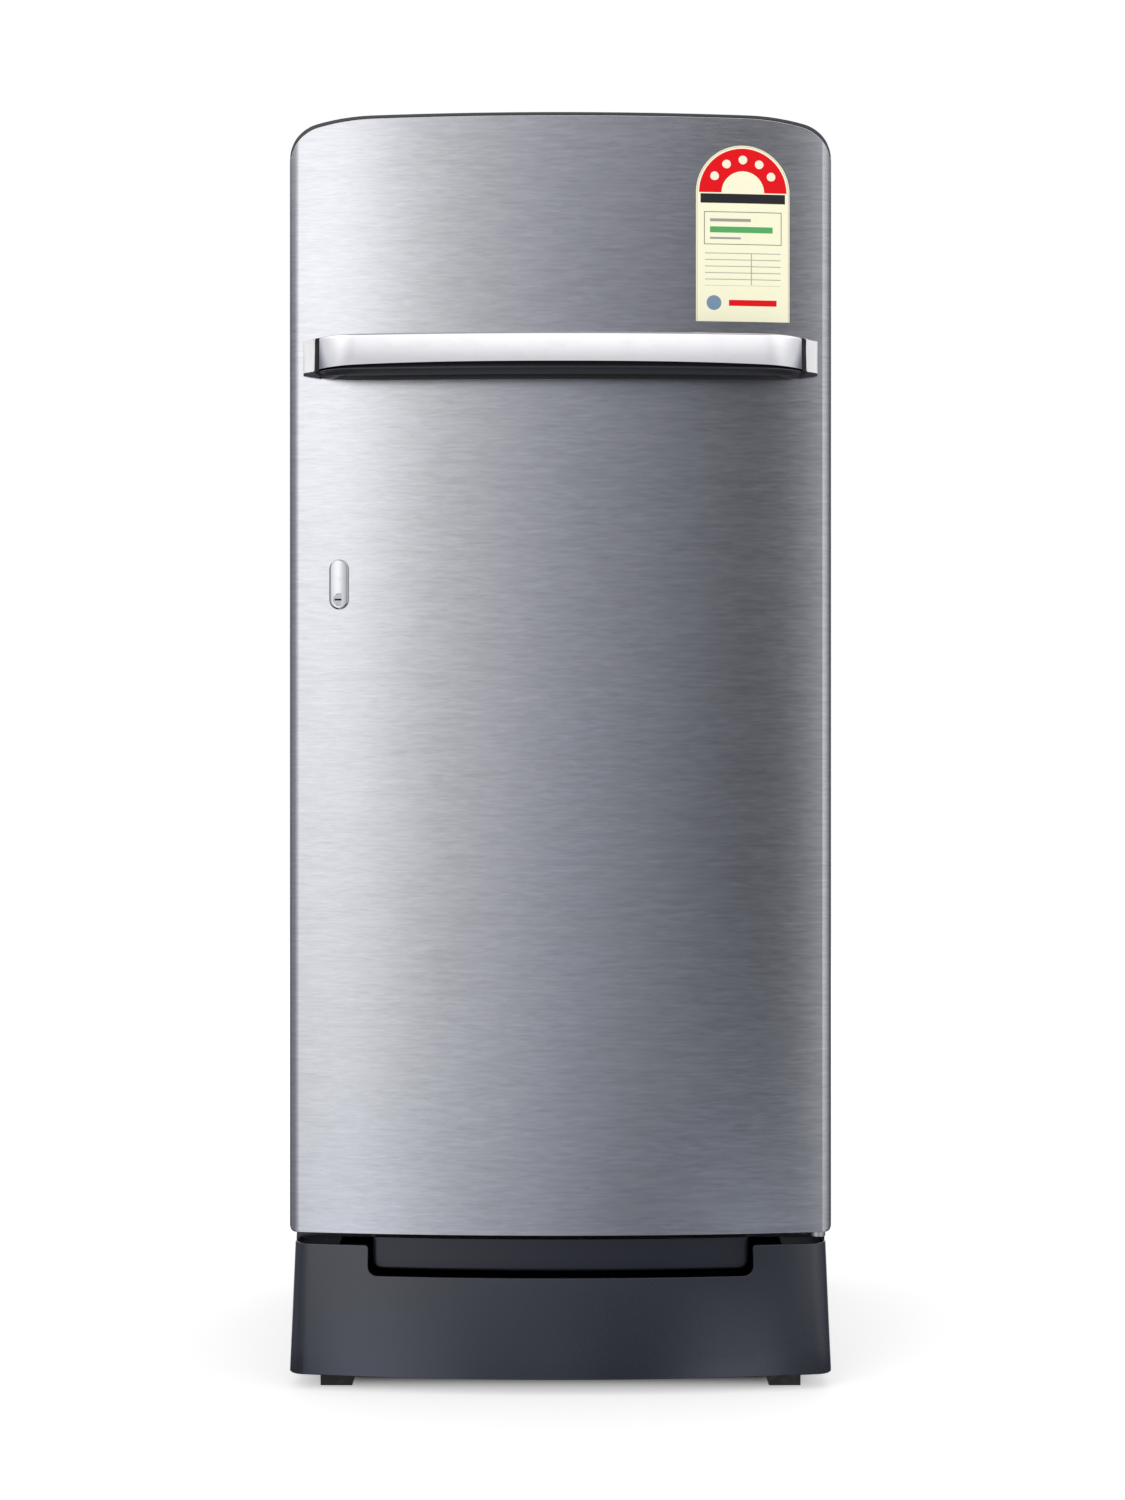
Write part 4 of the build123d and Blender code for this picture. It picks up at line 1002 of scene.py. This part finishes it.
@dataclass(frozen=True)
class Handle:
    """The chrome bar across the door with its bands, ends and dark rim."""

    face_y: float = -325.0
    bow_r: float = 1650.0
    turn_x: float = 200.0
    end_r: float = 58.0
    top: float = 1054.7
    bar_low: float = 1024.4
    rim_low: float = 1018.7
    under_low: float = 1011.5
    recess_in: float = 150.0
    recess_out: float = 232.0
    recess_top: float = 1047.0
    wall: float = 2.5
    band_in: float = 240.5
    band_out: float = 245.5
    reach: float = 257.5
    closing: float = 262.0
    lean_low: float = 9.0
    lean_high: float = 19.0
    edge: float = 2.2
    hold: float = 8.0
    bar_rise: float = 3.2
    deepest: float = 0.8
    fall_power: int = 9
    rise_power: int = 3
    tip: float = 3.0
    tab_lean: float = 0.45
    bead: float = 1.4

    def turn(self) -> float:
        """Half the bow's angle."""
        return math.asin(self.turn_x / self.bow_r)

    def end(self) -> Tuple[float, float]:
        """Centre of the right end's arc."""
        reach = self.bow_r - self.end_r
        return reach * math.sin(self.turn()), self.face_y + self.bow_r - reach * math.cos(self.turn())

    def angle_at(self, x: float) -> float:
        """The end arc's angle from straight ahead where its outer face is x from the middle."""
        return math.asin((x - self.end()[0]) / self.end_r)

    def point(self, angle: np.ndarray, inset: np.ndarray) -> np.ndarray:
        """A place on the plan, as x and y.

        Up to the bow's half angle it lies on the bow, and past it on the end's arc; the inset
        comes off either radius.

        Args:
            angle: angles from straight ahead.
            inset: distances inside the face.

        Returns:
            Rows of x and y.
        """
        side = np.sign(angle)
        size = np.abs(angle)
        on_bow = size <= self.turn()
        centre_x = np.where(on_bow, 0.0, self.end()[0])
        centre_y = np.where(on_bow, self.face_y + self.bow_r, self.end()[1])
        radius = np.where(on_bow, self.bow_r, self.end_r) - inset
        return np.stack([side * (centre_x + radius * np.sin(size)), centre_y - radius * np.cos(size)], -1)

    def lean(self, z: np.ndarray) -> np.ndarray:
        """Distance by which the face leans back at a height: its tilt grows evenly from its foot.

        Args:
            z: heights.

        Returns:
            The distance at each.
        """
        low, high = math.tan(math.radians(self.lean_low)), math.tan(math.radians(self.lean_high))
        rise = np.maximum(np.asarray(z, float) - self.rim_low, 0)
        length = self.top - self.rim_low
        return low * rise + (high - low) * rise**2 / (2 * length)

    def sweep(self, angles: np.ndarray, section: np.ndarray) -> Form:
        """A section carried along the plan.

        A point starts on the face, goes in by its inset, but no deeper than a part of the way to
        the door, leans back by at most half of what is left, and then goes its share of the rest.
        It drops by its fall times one less the ninth power of the place across, against the
        closing place, and by its rise times the cube of the place across, against the band's, so
        that the underside and the bar's foot close in a lens at the ends. A point of the finger
        recess is lifted in full in the middle, and not at all towards the ends.

        Args:
            angles: places along the plan.
            section: rows of inset, share, z, fall, rise and, if any, lift.

        Returns:
            The closed form.
        """
        inset, share, z, fall, rise = section.T[:5]
        lift = section.T[5] if section.shape[1] > 5 else 0.0 * z
        angle = np.repeat(angles[:, None], len(inset), 1)
        face = self.point(angle, np.zeros(angle.shape))
        middle = DOOR_PLAN.face(0.0) - self.face_y
        depth = np.clip((DOOR_PLAN.face(face[..., 0]) - face[..., 1]) / middle, 0.0, 1.0)
        front = self.point(angle, np.minimum(inset, depth * middle * self.deepest))
        door_y = DOOR_PLAN.face(front[..., 0]) + 1.0
        leant = front[..., 1] + np.clip(self.lean(z), 0.0, np.maximum(door_y - front[..., 1], 0.0) / 2)
        y = leant + np.maximum(share, leant > door_y) * (door_y - leant)
        across = np.abs(front[..., 0])
        drop = fall * (1 - (across / self.closing) ** self.fall_power)
        drop = drop + rise * (across / self.band_in) ** self.rise_power
        way = np.clip((self.recess_out - across) / (self.recess_out - self.recess_in), 0.0, 1.0)
        drop = drop - lift * way**2 * (3 - 2 * way)
        return loft(np.stack([front[..., 0], y, z - drop], -1))

    def shell(self, low: float, top: float, sink: float, wall: float, rise: float = 0.0) -> np.ndarray:
        """A section with a leaning face and a closed top.

        Args:
            low: the face's foot.
            top: the top's height.
            sink: distance of the face inside the handle's own.
            wall: thickness, or nought for a solid section.
            rise: how much further down the foot reaches at the band.

        Returns:
            Rows of inset, share, z, fall and rise.
        """
        turn = quarter(6)
        start, hold = top - self.edge, sink + self.hold
        z = np.concatenate([[low + 0.25], np.linspace(low + 1.0, start, 14)])
        part = (top - z) / (top - low)
        face = np.stack([0 * z + sink, 0 * z, z, 0 * z, part * rise], 1)
        curl = sink + self.edge * (1 - np.cos(turn))
        crest = np.stack([curl, 0 * turn, start + self.edge * np.sin(turn), 0 * turn, 0 * turn], 1)[1:]
        back = np.array([[hold, 0.0, top, 0, 0], [hold, 1.0, top, 0, 0]])
        if wall:
            inner = np.linspace(top - wall, low, 8)
            part = (top - inner) / (top - low)
            inside = np.stack([0 * inner + sink + wall, 0 * inner, inner, 0 * inner, part * rise], 1)
            under = np.array([[hold, 1.0, top - wall, 0, 0], [hold, 0.0, top - wall, 0, 0]])
            lip = np.array([[sink + 1.0, 0.0, low, 0, rise]])
            return np.concatenate([face, crest, back, under, inside, lip])
        foot = np.array([[hold, 1.0], [hold, 0.0], [sink + 0.9, 0.0]])
        foot = np.concatenate([foot, np.tile([low, 0.0, rise], (3, 1))], 1)
        return np.concatenate([face, crest, back, foot])

    def tab(self, lows: Tuple[float, float], tops: Tuple[float, float], proud: float, first: float) -> Form:
        """A low tab beyond the right end: it follows the door and is rounded at its tip.

        Its height off the door falls as the root of one less the squared way along the last part,
        and less higher up, so that its face leans as the bar's does.

        Args:
            lows: height of its foot at the band and at its tip.
            tops: height of its top at the band and at its tip.
            proud: height off the door.
            first: where it starts.

        Returns:
            The closed form.
        """
        start = self.reach - self.tip
        close = start + self.tip * np.sin(quarter(9))
        x = np.concatenate([np.linspace(first, start, 9)[:-1], close])
        fall = np.sqrt(np.maximum(1 - (np.maximum(x - start, 0) / self.tip) ** 2, 0.0))
        way = (x - first) / (self.reach - first)
        low, top = lows[0] + (lows[1] - lows[0]) * way, tops[0] + (tops[1] - tops[0]) * way
        share = np.concatenate([[0.0, 0.03], np.linspace(0.1, 0.9, 9), [0.97, 1.0]])
        z = low[:, None] + (top - low)[:, None] * share[None, :]
        depth = proud - (self.lean(z) - self.lean(low)[:, None]) * self.tab_lean
        depth[:, [0, -1]] -= 0.8
        depth[:, [1, -2]] -= 0.2
        front = np.maximum(fall[:, None] * depth, 0.02)
        base = DOOR_PLAN.face(x)
        outer = np.stack([np.repeat(x[:, None], len(share), 1), base[:, None] - front, z], -1)
        inner = outer[:, [-1, 0]].copy()
        inner[..., 1] = base[:, None] + 0.8
        return loft(np.concatenate([outer, inner], 1))

    def grip(self, whole: np.ndarray) -> None:
        """The dark body behind the bar, grooved under it, with a recess for the fingers from below.

        Its lip curls down to the mouth of the recess, and a wedge carries it on under the ends.

        Args:
            whole: places along the bar from its left end to its right one.
        """
        foot, hold = self.rim_low, self.hold
        fall = foot - self.under_low
        groove, ceiling = self.wall + 5.0, self.top - self.wall - 0.1
        front = np.array(
            [
                [self.wall + 0.4, 0.0, foot - 0.2, 0.0],
                [self.wall + 0.2, 0.0, foot + 1.0, 0.0],
                [groove, 0.0, foot + 1.8, 0.0],
                [groove, 0.0, foot + 8.0, 0.0],
                [self.wall + 0.1, 0.0, foot + 9.0, 0.0],
                [self.wall + 0.1, 0.0, ceiling, 0.0],
                [hold, 0.0, ceiling, 0.0],
                [hold, 1.0, ceiling, 0.0],
                [hold, 1.0, foot, fall],
            ]
        )
        front = np.concatenate([front, np.zeros((len(front), 2))], 1)
        roof = self.recess_top - foot + fall
        recess = np.array(
            [
                [0.91, 1.0, 0.2],
                [0.89, 1.0, 3.0],
                [0.87, 1.0, roof - 6.0],
                [0.82, 1.0, roof - 1.5],
                [0.70, 1.0, roof],
                [0.40, 1.0, roof],
                [0.30, 1.0, roof - 2.0],
                [0.24, 0.9, roof - 7.0],
                [0.16, 0.8, 6.0],
                [0.12, 0.8, 1.6],
                [0.08, 0.8, 0.2],
            ]
        )
        recess = np.concatenate([np.full((len(recess), 1), hold), recess], 1)
        turn = quarter(9)[:0:-1]
        curl = self.wall + 0.4 + 5.0 * np.sin(turn)
        lip = np.stack([curl, 0 * turn, 0.8 - 0.8 * np.cos(turn) ** 1.5, 0 * turn], 1)
        inset, share, part, lift = np.concatenate([recess, lip]).T
        under = np.stack([inset, share, 0 * lift + foot, fall * part, 0 * lift, lift], 1)
        end = self.angle_at(self.band_out + 2.0)
        past = np.linspace(whole[-1], end, 4)[1:]
        body = self.sweep(np.concatenate([-past[::-1], whole, past]), np.concatenate([front, under]))
        wedge = self.tab((foot - 4.3, foot - 1.3), (foot + 3.2, foot + 1.1), 4.6, self.band_in)
        hang("handle_grip_body", body + wedge.both(), "black_plastic", "door", "handle_grip", sharp=CRISP)

    def build(self) -> None:
        """Make the bar, the bands, the ends and the rim."""
        edge_in, edge_out = self.angle_at(self.band_in), self.angle_at(self.band_out)
        end = np.linspace(self.turn(), edge_in, 14)[1:]
        bow = np.concatenate([np.linspace(0, self.turn(), 26), end])
        whole = np.concatenate([-bow[:0:-1], bow])
        low, top = self.rim_low, self.top
        bar = self.sweep(whole, self.shell(self.bar_low, top, 0.0, self.wall, self.bar_rise))
        hang("handle_chrome_bar", bar, "chrome", "door", "handle_bar", sharp=CRISP)
        section = self.shell(low + 0.6, top - 0.2, 0.0, 0.0)
        band = self.sweep(np.linspace(edge_in, edge_out, 5), section).both()
        hang("handle_black_bands", band, "black_plastic", "door", "handle_bands", finish=MATT, sharp=CRISP)
        last = self.angle_at(self.end()[0] + self.end_r * 0.995)
        cap = self.sweep(np.linspace(edge_out, last, 9), self.shell(low + 2.6, top, 0.0, 0.0))
        tip = self.tab((low + 2.7, low + 0.9), (top - 0.4, top - 2.6), 4.9, self.band_out - 0.2)
        ends = (cap + tip).both()
        hang("handle_chrome_ends", ends, "chrome", "door", "handle_end_caps", finish=SATIN, sharp=CRISP)
        self.grip(whole)
        turn = np.linspace(0, 2 * math.pi, 13)[:-1]
        height = low + 0.2 + 1.3 * np.sin(turn)
        bead = np.stack([2.3 + self.bead * np.cos(turn), 0 * turn, height, 0 * turn, 0 * turn], 1)
        hang("handle_rim", self.sweep(whole, bead), "black_plastic", "door", finish=RIM)


@dataclass(frozen=True)
class Lock:
    """The lock's chrome plate, which follows the door's bow, and a matt black block in the slot for its key,
    painted shade for the slot.
    """

    x: float = -221.5
    z: float = 793.2
    wide: float = 19.5
    high: float = 50.0
    proud: float = 3.0
    bore: float = 5.95
    edge: float = 1.9
    rim: float = 0.4
    sunk: float = -1.0
    camber_r: float = 75.0
    key: Tuple[float, float] = (4.15, 0.95)
    key_front: float = -276.75
    key_back: float = -268.75

    def build(self) -> None:
        """Rings from the plate's foot over its rounded edge to the bore, and back down it.

        The outer rings are capsules, the inner ones circles round the bore. A ring's height is
        measured off the door, and the plate is highest along its middle.
        """
        turn = quarter(7)
        inset = np.concatenate([[0.0], self.edge * (1 - np.cos(turn))])
        rise = self.proud - self.edge - self.rim + self.edge * np.sin(turn)
        profile = np.stack([inset, np.concatenate([[self.sunk], rise])], 1)
        outer = rect_rings((self.wide / 2, self.high / 2), self.wide / 2, profile, 16)
        outer[..., 1] += (self.high - self.wide) / 2
        spin = np.arctan2(outer[-1, :, 1] - (self.high - self.wide) / 2, outer[-1, :, 0])
        circle = np.stack([np.cos(spin), np.sin(spin)], -1)
        radii = np.array([self.bore + 0.25, self.bore, self.bore])[:, None, None]
        drop = np.array([self.proud - self.rim, self.proud - 0.75, self.sunk])[:, None, None]
        inner = np.concatenate([radii * circle, np.broadcast_to(drop, (3, len(spin), 1))], -1)
        steps = np.linspace(0, 1, 6)[1:-1, None, None]
        face = outer[-1] + (inner[0] - outer[-1]) * steps
        rings = np.concatenate([outer, face, inner])
        camber = np.maximum(self.wide**2 / 4 - rings[..., 0] ** 2, 0) / (2 * self.camber_r)
        height = rings[..., 2] + np.where(rings[..., 2] > 0, camber, 0)
        x = rings[..., 0] + self.x
        placed = np.stack([x, DOOR_PLAN.face(x) - height, rings[..., 1] + self.z], -1)
        hang("lock_plate", loft(placed, Wrap.LOOP), "lock_chrome", "door", "lock_escutcheon")
        # The key's slot is filled with a matt black block: painted shade where the slot's hollow would be.
        wide, high = self.key
        low = (self.x - wide, self.key_front, self.z - high)
        key = slab(low, (self.x + wide, self.key_back, self.z + high), 0.4, 0.15)
        hang("lock_keyway_painted_shade", key, "black_plastic", "lock", finish=MATT)


@dataclass(frozen=True)
class DrawerFront:
    """The thin bowed front of the base drawer, wider at its foot and cut out at its top."""

    low: float = 15.5
    top: float = 147.4
    half_top: float = 268.0
    half_low: float = 273.7
    face_y: float = -284.0
    back_y: float = -237.5
    bow_r: float = 1480.0
    corner_r: float = 18.0
    wall: float = 3.0
    edge: float = 1.25
    bevel: float = 0.8
    cut_half: float = 192.5
    cut_low: float = 116.7
    cut_r: float = 10.0
    slant: float = 0.4
    shoulder: float = 3.0
    level_from: float = 200.0

    def stations(self) -> Tuple[np.ndarray, np.ndarray]:
        """Places along the right half of the bow and the height of the edge at each.

        From the middle: the cut-out's floor, its rounded corner, its side with a slight slant, a
        small rounded shoulder and the level edge.

        Returns:
            The places and the heights.
        """
        floor, level = 30, 10
        inner = self.cut_half - self.cut_r
        corner, curl = quarter(9)[1:], quarter(6)[1:]
        side = self.cut_half + self.slant
        x = np.concatenate(
            [
                np.linspace(0, inner, floor),
                inner + self.cut_r * np.sin(corner),
                [self.cut_half + self.slant / 2, side],
                side + self.shoulder * (1 - np.cos(curl)),
                np.linspace(self.level_from, self.half_top - self.corner_r - 0.6, level),
            ]
        )
        z = np.concatenate(
            [
                np.full(floor, self.cut_low),
                self.cut_low + self.cut_r * (1 - np.cos(corner)),
                [self.cut_low + 15, self.top - self.shoulder],
                self.top - self.shoulder + self.shoulder * np.sin(curl),
                np.full(level, self.top),
            ]
        )
        return x, z

    def form(self) -> Form:
        """Sections of the wall, one for each station, each point between the foot's plan and the top's.

        Returns:
            The closed form.
        """
        x, height = self.stations()
        steps = 14
        ends = np.full(steps + 1, self.top)
        top = np.concatenate([ends, height[::-1], height[1:], ends])
        foot_plan = BowedPlan(self.half_low, self.face_y, self.back_y, self.bow_r, self.corner_r)
        top_plan = BowedPlan(self.half_top, self.face_y, self.back_y, self.bow_r, self.corner_r)
        wide = x * self.half_low / self.half_top
        turn = quarter(5)
        curl, fall = self.edge * (1 - np.cos(turn)), self.edge * (1 - np.sin(turn))
        share = np.linspace(0, 1, 6)[1:-1]
        foot = self.low + self.bevel
        inner = [self.wall, self.wall - 0.3]
        inset = np.concatenate([[self.bevel, 0.0], 0 * share, curl, self.wall - curl[::-1], inner])
        rings = np.empty((len(top), len(inset), 3))
        z = np.empty((len(top), len(inset)))
        z[:, 0] = self.low
        z[:, 1] = foot
        z[:, 2:6] = foot + (top[:, None] - self.edge - foot) * share
        z[:, 6:11] = top[:, None] - fall
        z[:, 11:16] = top[:, None] - fall[::-1]
        z[:, 16] = self.low + 0.3
        z[:, 17] = self.low
        part = (z - self.low) / (self.top - self.low)
        for k, depth in enumerate(inset):
            lower = foot_plan.path(wide, float(depth), 0.0, steps)
            upper = top_plan.path(x, float(depth), 0.0, steps)
            rings[:, k, :2] = lower + (upper - lower) * part[:, k, None]
        rings[..., 2] = z
        return loft(rings)

    def build(self) -> None:
        """Hang the front on the drawer."""
        hang("drawer_bowed_front", self.form(), "base_plastic", "base_drawer", "drawer_front", sharp=CRISP)


@dataclass(frozen=True)
class RailTab:
    """The set-back panel seen through the drawer front's cut-out, with a rounded rim."""

    half: float = 189.4
    low: float = 120.0
    top: float = 151.8
    corner: float = 10.0
    wall: float = 3.5
    edge: float = 2.6
    face_y: float = -265.0
    bow_r: float = 1461.0
    back_y: float = -236.0
    web: float = 3.0
    web_share: float = 0.99
    overlap: float = 0.4

    def build(self) -> None:
        """Sections across the panel's width, and across the web behind its top.

        The foot follows the lower corners' arcs; towards the ends the face turns back by a
        quarter circle, as it does towards the foot.
        """
        inner = self.half - self.corner
        right = np.concatenate([np.linspace(0, inner, 24), inner + self.corner * np.sin(quarter(9)[1:])])
        x = np.concatenate([-right[:0:-1], right])
        side = np.abs(x)
        foot = self.low + self.corner - np.sqrt(self.corner**2 - np.maximum(side - inner, 0) ** 2)
        face = self.face_y + self.bow_r - np.sqrt(self.bow_r**2 - x**2)
        over = np.maximum(side - (self.half - self.edge), 0)
        front = face + self.edge - np.sqrt(np.maximum(self.edge**2 - over**2, 0))
        bend = quarter(6)
        back = face + self.wall
        depth = np.concatenate([[0.0], self.edge * (1 - np.cos(bend))])
        y = np.minimum(front[:, None] + depth[None, :], back[:, None] - 0.1)
        z = foot[:, None] + np.concatenate([[0.0], self.edge * (1 - np.sin(bend))])[None, :]
        z[:, 0] = self.top
        y = np.concatenate([y, back[:, None], back[:, None]], 1)
        z = np.concatenate([z, foot[:, None], np.full((len(x), 1), self.top)], 1)
        panel = loft(np.stack([np.repeat(x[:, None], y.shape[1], 1), y, z], -1))
        lap, rear = back - self.overlap, 0 * x + self.back_y
        web_y = np.stack([lap, rear, rear, lap], 1)
        under, over = self.top - self.web - 0.01, self.top - 0.01
        web_z = np.broadcast_to(np.array([under, under, over, over]), web_y.shape)
        web = loft(np.stack([np.repeat(x[:, None] * self.web_share, 4, 1), web_y, web_z], -1))
        hang("rail_tab", panel + web, "rail_plastic", "cabinet", "stand_front_rail", sharp=CRISP)


@dataclass(frozen=True)
class Sky:
    """What the shiny surfaces see: a dome round the object, dark and light by direction."""

    centre: Place = (0.0, -0.29, 0.64)
    radius: float = 4.0
    top: float = 1.6
    slope_from: float = 0.13
    card_heights: Tuple[float, float] = (-0.38, -0.32)
    ceiling_heights: Tuple[float, float] = (0.44, 0.54)
    side_turns: Tuple[float, float] = (0.10, 0.19)
    side_lift: float = 0.10
    side_gain: float = 1.2
    card_tint: Colour = (0.87, 0.96, 1.16)
    dark_tint: Colour = (0.96, 0.985, 1.13)
    light_tint: Colour = (1.0, 1.0, 1.02)
    round_stops: Tuple[Tuple[float, float, float], ...] = (
        (-180.0, 0.85, 0.0),
        (-156.0, 0.85, 0.0),
        (-138.0, 0.12, 0.0),
        (-112.0, 0.18, 0.0),
        (-94.0, 0.32, 0.0),
        (-78.0, 0.28, 0.0),
        (-64.0, 0.36, 0.2),
        (-43.0, 0.74, 0.5),
        (-33.0, 1.12, 0.8),
        (-26.5, 1.50, 0.80),
        (-22.5, 1.52, 0.76),
        (-17.5, 1.00, 0.55),
        (-13.4, 0.735, 0.4),
        (-7.2, 0.59, 0.15),
        (-3.1, 0.49, 0.08),
        (1.0, 0.37, 0.0),
        (5.1, 0.325, 0.0),
        (9.2, 0.265, 0.0),
        (15.3, 0.165, 0.0),
        (19.4, 0.09, 0.0),
        (23.5, 0.035, 0.0),
        (26.2, 0.05, 0.0),
        (29.0, 0.86, 0.0),
        (41.0, 0.84, 0.0),
        (66.0, 0.62, 0.0),
        (84.0, 0.42, 0.0),
        (104.0, 0.20, 0.0),
        (122.0, 0.10, 0.0),
        (138.0, 0.10, 0.0),
        (156.0, 0.85, 0.0),
        (180.0, 0.85, 0.0),
    )
    low_stops: Tuple[Tuple[float, float], ...] = (
        (-60.0, 0.02),
        (-33.0, 0.02),
        (-29.0, 0.5),
        (-26.0, 1.2),
        (-22.0, 1.15),
        (-16.0, 0.75),
        (-9.0, 0.28),
        (0.0, 0.32),
        (7.0, 0.02),
        (12.0, 0.08),
        (18.0, 0.85),
        (24.0, 0.95),
        (27.0, 0.03),
        (60.0, 0.02),
    )

    def build(self) -> bpy.types.Object:
        """The dome, seen only by glossy rays.

        Its stops give an azimuth in degrees, the level there and how fast it grows upwards; its
        low stops give an azimuth and a level. Azimuth is measured from the front, positive to the
        right of the picture; elevation from the dome's centre. Above the wall the level rises to
        that of a white ceiling, sooner at the sides, and low down two cards light the base. What
        is dark is a little blue.

        Returns:
            The dome's object.
        """
        turn = np.linspace(0, 2 * math.pi, 65)[:-1]
        up = np.radians(np.linspace(-88, 88, 45))[:, None]
        shell = np.stack([np.cos(up) * np.sin(turn), -np.cos(up) * np.cos(turn), np.sin(up) + 0 * turn], -1)
        form = loft(shell * self.radius / MM)
        material = bpy.data.materials.new("studio_dome")
        material.use_nodes = True
        material.cycles.emission_sampling = "NONE"
        graph = Graph(material.node_tree)
        across, deep, up = graph.axes()
        azimuth = graph.math("ARCTAN2", across, -deep) / (2 * math.pi) + 0.5
        height = up / self.radius
        low = height.smooth(*self.card_heights)
        places = [angle / 360 + 0.5 for angle, _, _ in self.round_stops]
        wall = graph.steps(azimuth, list(zip(places, (row[1] for row in self.round_stops))), self.top)
        slope = graph.steps(azimuth, list(zip(places, (row[2] for row in self.round_stops))))
        wall = wall * (slope * (height - self.slope_from) + 1.0)
        card = graph.steps(azimuth, [(angle / 360 + 0.5, level) for angle, level in self.low_stops], self.top)
        wall = card + (wall - card) * low
        side = abs(azimuth - 0.5).smooth(*self.side_turns) * self.side_lift
        rise = height + side
        ceiling = rise.smooth(0.52, 0.80, 0.62, 1.26) - height.smooth(0.83, 0.90, 0.0, 0.9)
        ceiling = ceiling + side * self.side_gain
        level = wall + (ceiling - wall) * rise.smooth(*self.ceiling_heights)
        cool = graph.mix(level.smooth(0.35, 0.75), self.dark_tint, self.light_tint)
        tint = graph.mix(low, self.card_tint, cool)
        graph.close(graph.node("ShaderNodeEmission", {}, {"Color": tint, "Strength": level}))
        dome = make_object("studio_dome", form, material)
        dome.location = self.centre
        dome.visible_camera = False
        dome.visible_diffuse = False
        dome.visible_transmission = False
        dome.visible_shadow = False
        return dome


@dataclass(frozen=True)
class Studio:
    """Camera, light, floor and background."""

    eye: Place = (0.002, -2.788, 0.643)
    lens: float = 60.35
    sensor: float = 36.0
    ambient: float = 0.60
    lamp_side: float = 3.0
    lamps: Tuple[Tuple[str, Place, float], ...] = (
        ("key", (-2.4, -4.2, 3.4), 45.0),
        ("fill", (3.0, -3.6, 1.6), 15.75),
        ("back", (1.0, 4.4, 3.0), 27.0),
    )
    aim: Place = (0.0, 0.0, 0.6)
    floor_half: float = 30000.0
    floor_grey: float = 0.85
    floor_glow: float = 0.52
    # Where the floor's glow fades out under the object, in metres: a painted shadow.
    shaded: Tuple[float, float] = (0.20, 0.262)

    def build(self) -> None:
        """Set up everything that isn't part of the object."""
        bpy.context.scene.view_settings.view_transform = "Standard"
        self.camera()
        self.world()
        Sky().build()
        self.floor()
        for name, place, power in self.lamps:
            self.lamp(name, place, power)

    def camera(self) -> None:
        """The photograph's camera: level, in front of the middle of the object."""
        data = bpy.data.cameras.new("camera")
        data.lens = self.lens
        data.sensor_width = self.sensor
        thing = bpy.data.objects.new("camera", data)
        thing.location = self.eye
        thing.rotation_euler = (math.pi / 2, 0.0, 0.0)
        bpy.context.scene.collection.objects.link(thing)
        bpy.context.scene.camera = thing

    def world(self) -> None:
        """White where the camera, a reflection or a clear piece sees it, and a plain level elsewhere."""
        world = bpy.data.worlds.new("studio")
        world.use_nodes = True
        graph = Graph(world.node_tree)
        seen = graph.node("ShaderNodeLightPath", {}, {}, "Is Camera Ray")
        outputs = seen.socket.node.outputs
        glossy = Wire(graph, outputs["Is Glossy Ray"])
        through = Wire(graph, outputs["Is Transmission Ray"])
        bright = graph.math("MAXIMUM", graph.math("MAXIMUM", seen, glossy), through)
        strength = bright * (1.0 - self.ambient) + self.ambient
        glow = graph.node("ShaderNodeBackground", {}, {"Color": WHITE, "Strength": strength})
        graph.close(glow, "ShaderNodeOutputWorld")
        world.cycles.sampling_method = "NONE"
        bpy.context.scene.world = world

    def floor(self) -> bpy.types.Object:
        """A pale floor that glows a little, less under the object, which paints a shadow there; glossy rays
        pass it by.

        Returns:
            The floor's object.
        """
        material = bpy.data.materials.new("studio_floor")
        material.use_nodes = True
        graph = Graph(material.node_tree)
        grey = (self.floor_grey, self.floor_grey, self.floor_grey)
        matt = graph.node("ShaderNodeBsdfDiffuse", {}, {"Color": grey})
        across, deep, _ = graph.axes()
        # The glow fades out under the object: a painted shadow beneath it.
        under = abs(across).smooth(*self.shaded, 1.0, 0.0) * abs(deep).smooth(*self.shaded, 1.0, 0.0)
        strength = (1.0 - under) * self.floor_glow
        glow = graph.node("ShaderNodeEmission", {}, {"Color": WHITE, "Strength": strength})
        graph.close(graph.node("ShaderNodeAddShader", {}, {0: matt, 1: glow}))
        half = self.floor_half
        plane = slab((-half, -half, -50.0), (half, half, 0.0), 10.0, 5.0)
        thing = make_object("studio_floor", plane, material)
        thing.visible_glossy = False
        return thing

    def lamp(self, name: str, place: Place, power: float) -> None:
        """A large square lamp that faces the object and leaves no glint.

        Args:
            name: the lamp's name.
            place: where it hangs.
            power: its power in watts.
        """
        data = bpy.data.lights.new(name, "AREA")
        data.shape = "SQUARE"
        data.size = self.lamp_side
        data.energy = power
        thing = bpy.data.objects.new(name, data)
        thing.location = place
        east, north, up = np.array(self.aim) - np.array(place)
        tilt, heading = math.atan2(up, math.hypot(east, north)), math.atan2(north, east)
        thing.rotation_euler = (math.pi / 2 + tilt, 0.0, heading - math.pi / 2)
        thing.visible_glossy = False
        thing.visible_camera = False
        bpy.context.scene.collection.objects.link(thing)


def paint_cad() -> None:
    """Give every CAD node its own finish or that of its material slot."""
    for name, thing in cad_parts.items():
        old = thing.data.materials[0]
        finish = OWN_FINISH.get(name, FINISHES.get(old.name))
        if finish is None:
            LOG.warning("no finish for %s (%s)", name, old.name)
            continue
        thing.data.materials[0] = finish.build()


def main() -> None:
    """Finish the CAD nodes and set up the studio."""
    logging.basicConfig(level=logging.INFO)
    paint_cad()
    for part in (DoorSkin(), Handle(), Lock(), DrawerFront(), RailTab()):
        part.build()
    Studio().build()


if __name__ == "__main__":
    main()
